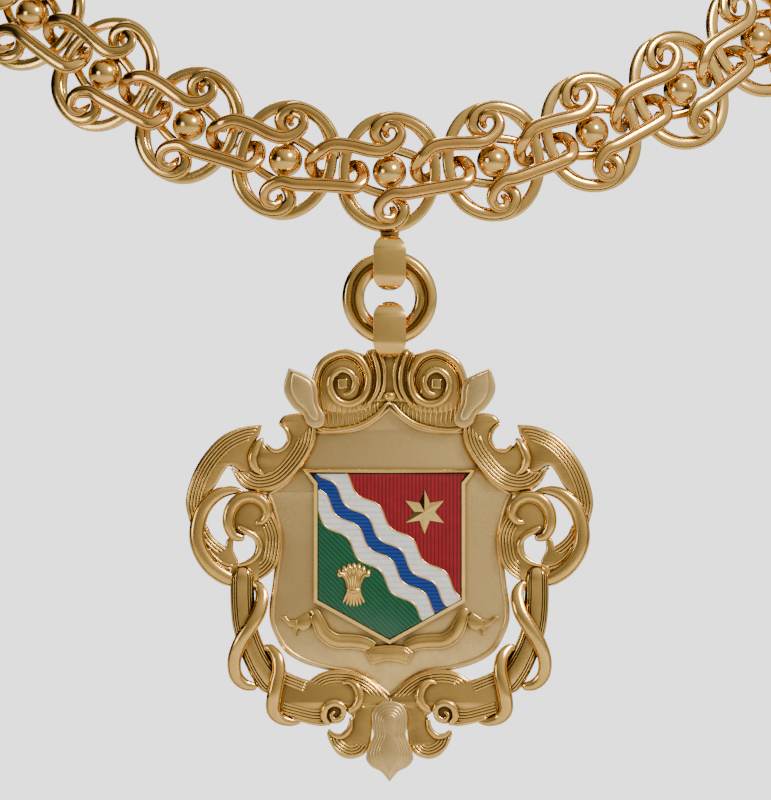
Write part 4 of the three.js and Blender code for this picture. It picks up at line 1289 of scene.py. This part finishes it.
def makeCamera():
    x, y, z = studio["middle"]
    lens = bpy.data.cameras.new("camera")
    lens.sensor_fit = "HORIZONTAL"
    lens.sensor_width = studio["film"]
    lens.lens = studio["film"] * studio["away"] / studio["width"]
    lens.clip_end = 30
    camera = bpy.data.objects.new("camera", lens)
    bpy.context.scene.collection.objects.link(camera)
    camera.location = (x * mm, (y - studio["away"]) * mm, z * mm)
    camera.rotation_euler = (pi / 2, 0, 0)
    bpy.context.scene.camera = camera


def makeFloor():
    pale = bpy.data.materials.new("palePaint")
    pale.use_nodes = True
    paint = pale.node_tree.nodes["Principled BSDF"]
    paint.inputs["Base Color"].default_value = studio["floorColour"]
    paint.inputs["Roughness"].default_value = 0.9
    deselectAll()
    bpy.ops.mesh.primitive_plane_add(size=12, location=(0, 0, studio["floor"] * mm))
    floor = bpy.context.object
    floor.name = "floor"
    floor.data.materials.append(pale)


# Soft light that is strongest from the upper right, with a plain pale surround.
def makeWorld():
    world = bpy.data.worlds.new("studio")
    world.use_nodes = True
    bpy.context.scene.world = world
    tree = world.node_tree
    where = tree.nodes.new("ShaderNodeTexCoord").outputs["Generated"]
    towards = addNode(tree, "ShaderNodeVectorMath", operation="DOT_PRODUCT")
    tree.links.new(where, towards.inputs[0])
    towards.inputs[1].default_value = studio["brightSide"]
    strength = mapRange(tree, towards.outputs["Value"], studio["sideRange"], studio["softRange"])
    soft = tree.nodes["Background"]
    soft.inputs["Color"].default_value = studio["soft"]
    tree.links.new(strength, soft.inputs["Strength"])
    plain = addNode(tree, "ShaderNodeBackground", Color=studio["plain"], Strength=studio["plainStrength"])
    rays = tree.nodes.new("ShaderNodeLightPath")
    mix = tree.nodes.new("ShaderNodeMixShader")
    for k, output in enumerate((rays.outputs["Is Camera Ray"], soft.outputs[0], plain.outputs[0])):
        tree.links.new(output, mix.inputs[k])
    tree.links.new(mix.outputs[0], tree.nodes["World Output"].inputs["Surface"])


def makeLamps():
    for name, spot, size, power in studio["lamps"]:
        light = bpy.data.lights.new(name, "AREA")
        light.size = size
        light.energy = power
        lamp = bpy.data.objects.new(name, light)
        bpy.context.scene.collection.objects.link(lamp)
        lamp.location = spot
        aim = Vector(studio["lampsAim"]) - Vector(spot)
        lamp.rotation_euler = aim.to_track_quat("-Z", "Y").to_euler()


# Everything put together.
makeCamera()
makeFloor()
makeWorld()
makeLamps()
print("studio ready")
looks = makeMaterials()
print("materials ready")
makeCollar(looks["gold"], looks["redGold"])
print("collar ready")
depth = hanging["solderDepth"] / 2
solder = place(plate(hanging["solder"], -depth, depth, hanging["solderEdge"]), standUp(0))
upperBail = joined([makeBail(hanging["upperBail"]), solder], "piece_upper_bail")
finish(upperBail, looks["gold"], "collar", "gold")
finish(makeRing(), looks["gold"], "ring", "gold", "hanging_ring")
print("ring and upper bail ready")
castFrame = joined([makeCastFrame(), makeBail(hanging["lowerBail"])], "piece_badge_frame")
finish(castFrame, looks["gold"], "badge", "gold", "badge_frame_with_bail")
finish(makeField(), looks["paleGold"], "badge", "pale_gold", "field_plate")
for name, piece in makeBuds().items():
    finish(piece, looks["paleGold"], "badge", "pale_gold", name)
tray = onBadge(joined([makeTray(), *makeWires()], "piece_shield_tray"))
finish(tray, looks["gold"], "badge", "gold", "shield_tray")
for name, (tone, low, high) in shield["bend"].items():
    finish(makeEnamel(name, low, high), looks[tone], "badge", tone + "_enamel", name)
finish(makeStar(), looks["gold"], "badge", "gold", "gold_star")
finish(makeSheaf(), looks["gold"], "badge", "gold", "gold_sheaf")
finish(makeRibbon(), looks["gold"], "badge", "gold", "blank_ribbon")
print("badge ready")

for section in profiles.values():
    bpy.data.objects.remove(section)
deselectAll()
